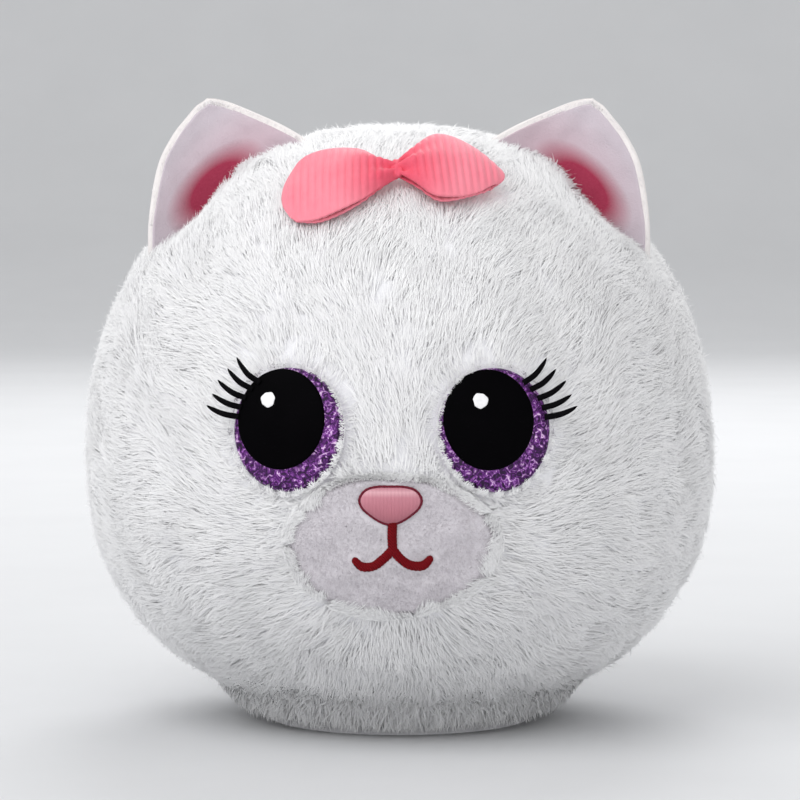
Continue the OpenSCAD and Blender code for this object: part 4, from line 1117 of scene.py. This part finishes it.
def grow_pile():
    """Points, sides, normals, half widths and root of every strand that covers the ball."""
    draw = np.random.default_rng(11)
    base = lattice(CLUMPS)
    base = on_ball(base + draw.normal(0, 0.9, base.shape))
    n = ball_normal(base)
    flow = fur_flow(base, n)
    lean = 7.0 + 1.3 * ripple(base, 111, 18) + draw.normal(0, 0.8, CLUMPS)
    tip = 0.6 + 0.35 * ripple(base, 112, 9) + draw.normal(0, 0.12, CLUMPS)

    # Spread each clump into strands, rooted round it and drawn together toward the tip.
    count = CLUMPS * STRANDS
    of = np.repeat(np.arange(CLUMPS), STRANDS)
    n_c, f_c = n[of], flow[of]
    s_c = np.cross(n_c, f_c)
    ring = CLUMP_R * np.sqrt(draw.uniform(0, 1, count))
    a = draw.uniform(0, 2 * math.pi, count)
    offset = f_c * (ring * np.cos(a))[:, None] + s_c * (ring * np.sin(a))[:, None]
    root = on_ball(base[of] + offset)
    n_s = ball_normal(root)
    wild = draw.uniform(0, 1, count) < 0.04
    lean_s = lean[of] * draw.uniform(0.75, 1.15, count) * np.where(wild, 1.25, 1)
    tip_s = tip[of] + draw.normal(0, 0.24, count) - np.where(wild, draw.uniform(0.3, 1.5, count), 0)
    way = turned(f_c, n_c, draw.normal(0, 0.2, count) + np.where(wild, draw.normal(0, 0.4, count), 0))
    way = laid(way, n_s)

    keep, way, lean_s, tip_s = part_pile(root, n_s, way, lean_s, tip_s)

    t = STEPS[None]
    side_out = lean_s[:, None] * t ** 1.12
    depth = ROOT_DEPTH + (tip_s[:, None] - ROOT_DEPTH) * (1 - (1 - t) ** 1.25)
    gather = 1 - 0.42 * t ** 1.2
    points = np.empty((count, len(STEPS), 3))
    shade = np.empty_like(points)
    start = base[of]
    for k in range(len(STEPS)):
        p = on_ball(start + offset * gather[:, k:k + 1] + way * side_out[:, k:k + 1])
        nk = ball_normal(p)
        points[:, k] = p - nk * (depth[:, k:k + 1] + ear_dent(p)[:, None])
        shade[:, k] = nk
    points[..., 2] = np.maximum(points[..., 2], FLOOR_GAP)
    r = np.hypot(points[..., 0], points[..., 1])
    on_plate = (points[..., 2] < PLATE_H) & (r < PLATE_R + 0.5)
    push = np.where(on_plate, (PLATE_R + 0.5) / np.maximum(r, 1), 1)
    points[..., :2] *= push[..., None]

    keep &= clear_of_face(points)

    across, face = strand_sides(points, n_s, draw, STRAND_TWIST)
    lump = np.stack([ripple(root, 151 + i, 17) + 0.3 * ripple(root, 161 + i, 6) for i in range(3)], -1)
    grain = 0.02 * draw.normal(size=(count, 1, 3))
    shade = unit(shade + 0.05 * face[:, None] + 0.09 * lump[:, None] + grain)
    width = HALF_WIDTHS[None] * draw.uniform(0.75, 1.2, (count, 1)) * np.where(wild, 0.7, 1)[:, None]
    return points[keep], across[keep], shade[keep], width[keep], root[keep]


def make_pile():
    points, side, shade, width, root = grow_pile()
    a = np.degrees(np.arctan2(root[:, 1], root[:, 0]))
    for number, (name, centre, half) in enumerate(SKIN_PANELS):
        within = np.abs((a - centre + 180) % 360 - 180) <= half
        for part, level in (("crown", root[:, 2] > WAIST_Z + 8), ("belly", root[:, 2] <= WAIST_Z + 8)):
            pick = within & level
            ribbons(f"pile_{name}_{part}", points[pick], side[pick], shade[pick], width[pick],
                    FUR_WHITES, "fur", 200 + number)


def loose_strands(name, root, tip, half, seed, facing=0.0):
    """Single strands of the pile from given roots to given tips, arched out of the ball."""
    draw = np.random.default_rng(seed)
    count = len(root)
    n = unit(ball_normal(root) + facing)
    t = STEPS[None, :, None]
    arch = 0.14 * np.linalg.norm(tip - root, axis=-1)[:, None, None] * np.sin(np.pi * t)
    points = root[:, None] + (tip - root)[:, None] * t + n[:, None] * arch
    points[..., 2] = np.maximum(points[..., 2], FLOOR_GAP)
    across = strand_sides(points, n, draw, STRAND_TWIST)[0]
    shade = unit(n[:, None] + 0.1 * draw.normal(size=(count, len(STEPS), 3)))
    width = half * np.array([1, 1.1, 0.8])[None] * draw.uniform(0.75, 1.2, (count, 1))
    ribbons(name, points, across, shade, width, FUR_WHITES, "fur", seed)


SKIRT_STRANDS = 30000
FLOOR_GAP = 0.45


def make_skirt():
    """The pile round the bottom hem, which hangs over the base plate's edge to the floor."""
    draw = np.random.default_rng(23)
    a = draw.uniform(0, 2 * math.pi, SKIRT_STRANDS)
    clump = np.sin(a * 61) + np.sin(a * 97 + 1)
    r = PLATE_R + 0.9 + 17 * draw.uniform(0, 1, SKIRT_STRANDS) ** 1.2
    hang = 1 - smooth(r, PLATE_R + 3, PLATE_R + 18)
    level = 1 - (r / BALL_R) ** BELLY_N
    z = WAIST_Z - (WAIST_Z - 0.8) * level ** (1 / BELLY_N)
    root = spun(r, a, z)
    sunk = 2.2 * (1 - hang)
    root -= ball_normal(root) * sunk[:, None]
    out = r + (draw.uniform(-0.2, 1.6, SKIRT_STRANDS) + 0.3 * clump) * hang
    b = a + draw.normal(0, 0.035, SKIRT_STRANDS) + 0.03 * np.sin(a * 31)
    fall = z * draw.uniform(0.1, 0.9, SKIRT_STRANDS) * hang
    tip = spun(out, b, z + 0.5 * sunk - fall)
    loose_strands("pile_skirt", root, tip, 0.1, 211, unit(root * [1, 1, 0]) * 0.7 * hang[:, None])


FRINGE_STRANDS = 8000


def make_fringe():
    """Wisps that cross the edges of the muzzle patch and of the eyes, most of all below them."""
    draw = np.random.default_rng(29)
    a = draw.uniform(0, 2 * math.pi, FRINGE_STRANDS)
    patch = 0.5 + 0.5 * np.sin(a * 9 + 2 * np.sin(a * 5))
    out = draw.uniform(1.0, 1.09, FRINGE_STRANDS)
    x, z = muzzle_spot(out, a)
    turn_by = np.sign(np.sin(a * 7)) * draw.uniform(0.4, 1.5, FRINGE_STRANDS)
    inward = -spun(1, a + turn_by, 0)
    reach = draw.uniform(1.2, 2.8, FRINGE_STRANDS) * (0.6 + 0.8 * patch)
    reach *= 1 - 0.6 * smooth(np.sin(a), 0.6, 0.9)
    root = on_face(x, z, 1.8)
    depth = draw.uniform(-0.3, 0.4, FRINGE_STRANDS)
    tip = on_face(x + inward[:, 0] * reach, z + inward[:, 1] * reach, depth)
    loose_strands("pile_muzzle_fringe", root, tip, 0.075, 221)
    for side in SIDES:
        count = FRINGE_STRANDS // 4
        a = draw.uniform(0, 2 * math.pi, count)
        low = 0.35 + 0.65 * smooth(-np.sin(a), -0.2, 0.5)
        x = draw.uniform(1.02, 1.1, count) * EYE_W / 2 * np.cos(a)
        y = draw.uniform(1.02, 1.1, count) * EYE_H / 2 * np.sin(a)
        root = np.stack([x, y, np.full(count, -1.4)], -1)
        spread = a + draw.normal(0, 0.7, count)
        reach = draw.uniform(0.5, 1.5, count) * (0.75 + 0.5 * np.sin(a * 23)) * low
        tip = root + [0, 0, 0.9] - spun(reach, spread, 0)
        name = f"pile_{SIDE_NAMES[side]}_eye_fringe"
        loose_strands(name, EYES[side].out(root), EYES[side].out(tip), 0.07, 231 + side)


# ---- Short nap on the muzzle and the ears ----
def nap(points, normals, way, length, half, draw):
    """Strand points for short fibres that stand on a surface and lean one way."""
    count = len(points)
    t = STEPS[None, :, None]
    lift = normals[:, None] * (length[:, None, None] * 0.62 * t)
    slide = way[:, None] * (length[:, None, None] * 0.9 * t ** 1.6)
    p = points[:, None] + lift + slide - normals[:, None] * 0.12
    across, face = strand_sides(p, normals, draw, 0.7)
    shade = unit(normals[:, None] * 0.7 + face[:, None] * 0.3 + np.zeros((1, len(STEPS), 1)))
    width = half * np.array([1, 1.05, 0.75])[None] * draw.uniform(0.7, 1.2, (count, 1))
    return p, across, shade, width


def make_muzzle_nap():
    draw = np.random.default_rng(13)
    count = 16000
    share = np.sqrt(draw.uniform(0, 1, count)) * 1.01
    a = draw.uniform(0, 2 * math.pi, count)
    x, z = muzzle_spot(share, a)
    p = on_face(x, z, MUZZLE_DEPTH)
    n = ball_normal(p)
    p = p + n * muzzle_folds(p)[:, None]
    way = unit(np.stack([x * 0.4, np.zeros(count), z - MUZZLE_Z - 6], -1))
    way = turned(laid(way, n), n, 0.8 * ripple(p, 121, 8) + draw.normal(0, 0.4, count))
    keep = np.hypot(x / (NOSE_W / 2 + 0.6), (z - NOSE_Z) / (NOSE_H / 2 + 0.6)) > 1
    for line in (MOUTH_STEM, MOUTH_LEFT, MOUTH_RIGHT):
        thread = through(line, np.linspace(0, 1, 24))
        gap = np.hypot(x[:, None] - thread[None, :, 0], z[:, None] - thread[None, :, 1]).min(1)
        keep &= gap > MOUTH_LINE / 2 + 0.5
    parts = nap(p, n, way, draw.uniform(0.35, 0.75, count), 0.07, draw)
    ribbons("muzzle_nap", *[q[keep] for q in parts], MUZZLE_TINTS, "muzzle_pile", 131)


def make_ear_nap(side):
    """Fine hairs on the back and round the rim of an ear."""
    draw = np.random.default_rng(17 + side)
    grid = ear_grid(120, 90).reshape(-1, 2)
    pick = draw.integers(0, len(grid), 14000)
    spot = grid[pick] + draw.normal(0, 0.25, (len(pick), 2))
    border = ear_grid()
    line = np.concatenate([border[:, -1], border[::-1, 0]])
    gap = np.linalg.norm(spot[:, None] - line[None], axis=-1)
    nearest = line[gap.argmin(1)]
    gap = gap.min(1)
    round_over = rounded(gap)
    behind = draw.uniform(0, 1, len(pick)) < 0.62
    front = ~behind & (gap < EAR_ROUND)
    offset = np.where(behind, 1, -1) * EAR_T / 2 * round_over
    p = ear_point(spot[:, 0], spot[:, 1], offset)
    ahead = ear_point(spot[:, 0], spot[:, 1], offset + np.where(behind, 1, -1))
    flat_out = unit(nearest - spot)
    outward = np.stack([flat_out[:, 0], np.zeros(len(pick)), flat_out[:, 1]], -1)
    inside = (gap / EAR_ROUND)[:, None]
    n = unit(unit(ahead - p) * np.clip(inside, 0.15, 1) + outward * np.clip(1 - inside, 0, 1))
    way = unit(outward * 0.6 + np.array([0, 0, 0.8]) + draw.normal(0, 0.35, (len(pick), 3)))
    way = laid(way, n)
    keep = (behind & (gap > 1.5)) | (front & (gap > 0.9))
    parts = nap(p, n, way, draw.uniform(0.4, 0.9, len(pick)), 0.06, draw)
    flip = np.array([side, 1, 1])
    points, across, shade, width = [q[keep] for q in parts]
    if side < 0:
        across = -across
    name = f"{SIDE_NAMES[side]}_ear_nap"
    ribbons(name, points * flip, across * flip, shade * flip, width, EAR_TINTS, "ear_pile", 141)


# ---- Camera, lights and floor ----
CAMERA_FAR = 1.0
CAMERA_LENS = 177.5
CAMERA_TURN = math.radians(1.6)
CAMERA_RISE = math.radians(4.0)
CAMERA_AIM = (0.0, 0.0, 0.0805)


def make_camera():
    data = bpy.data.cameras.new("camera")
    data.lens = CAMERA_LENS
    camera = in_scene("camera", data)
    way = spun(math.cos(CAMERA_RISE), CAMERA_TURN - math.pi / 2, math.sin(CAMERA_RISE))
    camera.location = np.array(CAMERA_AIM) + CAMERA_FAR * way
    camera.rotation_euler = (math.pi / 2 - CAMERA_RISE, 0, CAMERA_TURN)
    data.clip_start = 0.05
    bpy.context.scene.camera = camera


def area_light(name, at, toward, size, power):
    data = bpy.data.lights.new(name, "AREA")
    data.shape = "DISK"
    data.size = size
    data.energy = power
    lamp = in_scene(name, data)
    lamp.location = at
    way = Vector(toward) - Vector(at)
    lamp.rotation_euler = way.to_track_quat("-Z", "Y").to_euler()


def make_studio():
    floor = bpy.data.meshes.new("floor")
    reach, rise, bend = 3.0, 2.5, 0.7
    rows = [(-reach, 0.0)]
    rows += [(1.6 + bend * math.sin(a), bend * (1 - math.cos(a))) for a in np.linspace(0, math.pi / 2, 16)]
    rows.append((1.6 + bend, rise))
    verts = [(x, y, z) for y, z in rows for x in (-reach, reach)]
    floor.from_pydata(verts, [], [(2 * i, 2 * i + 1, 2 * i + 3, 2 * i + 2) for i in range(len(rows) - 1)])
    floor.polygons.foreach_set("use_smooth", [True] * len(floor.polygons))
    look = Look("floor_paper", 0.9, Specular_IOR_Level=0.1)
    look.colour(look.mix(look.noise(60), srgb(214, 215, 217), srgb(220, 221, 223)))
    floor.materials.append(look.material)
    in_scene("floor", floor)
    area_light("key", (-0.75, -0.95, 1.15), (0, 0, 0.07), 1.9, 14)
    area_light("fill", (0.5, -1.3, 0.35), (0, 0, 0.06), 1.1, 2.6)
    area_light("back", (0.1, 1.1, 1.0), (0, 0, 0.1), 0.9, 9)
    world = bpy.data.worlds.new("world")
    world.use_nodes = True
    sky = world.node_tree.nodes["Background"]
    sky.inputs["Color"].default_value = (1, 1, 1, 1)
    sky.inputs["Strength"].default_value = 0.68
    bpy.context.scene.world = world
    bpy.context.scene.view_settings.view_transform = "Standard"


make_camera()
make_studio()
dress_frame()
make_skin()
make_stuffing()
make_muzzle()
make_nose()
make_mouth()
for side in SIDES:
    make_eye(side)
    make_lashes(side)
    make_ear(side)
    make_ear_nap(side)
make_bow()
make_muzzle_nap()
make_pile()
make_skirt()
make_fringe()
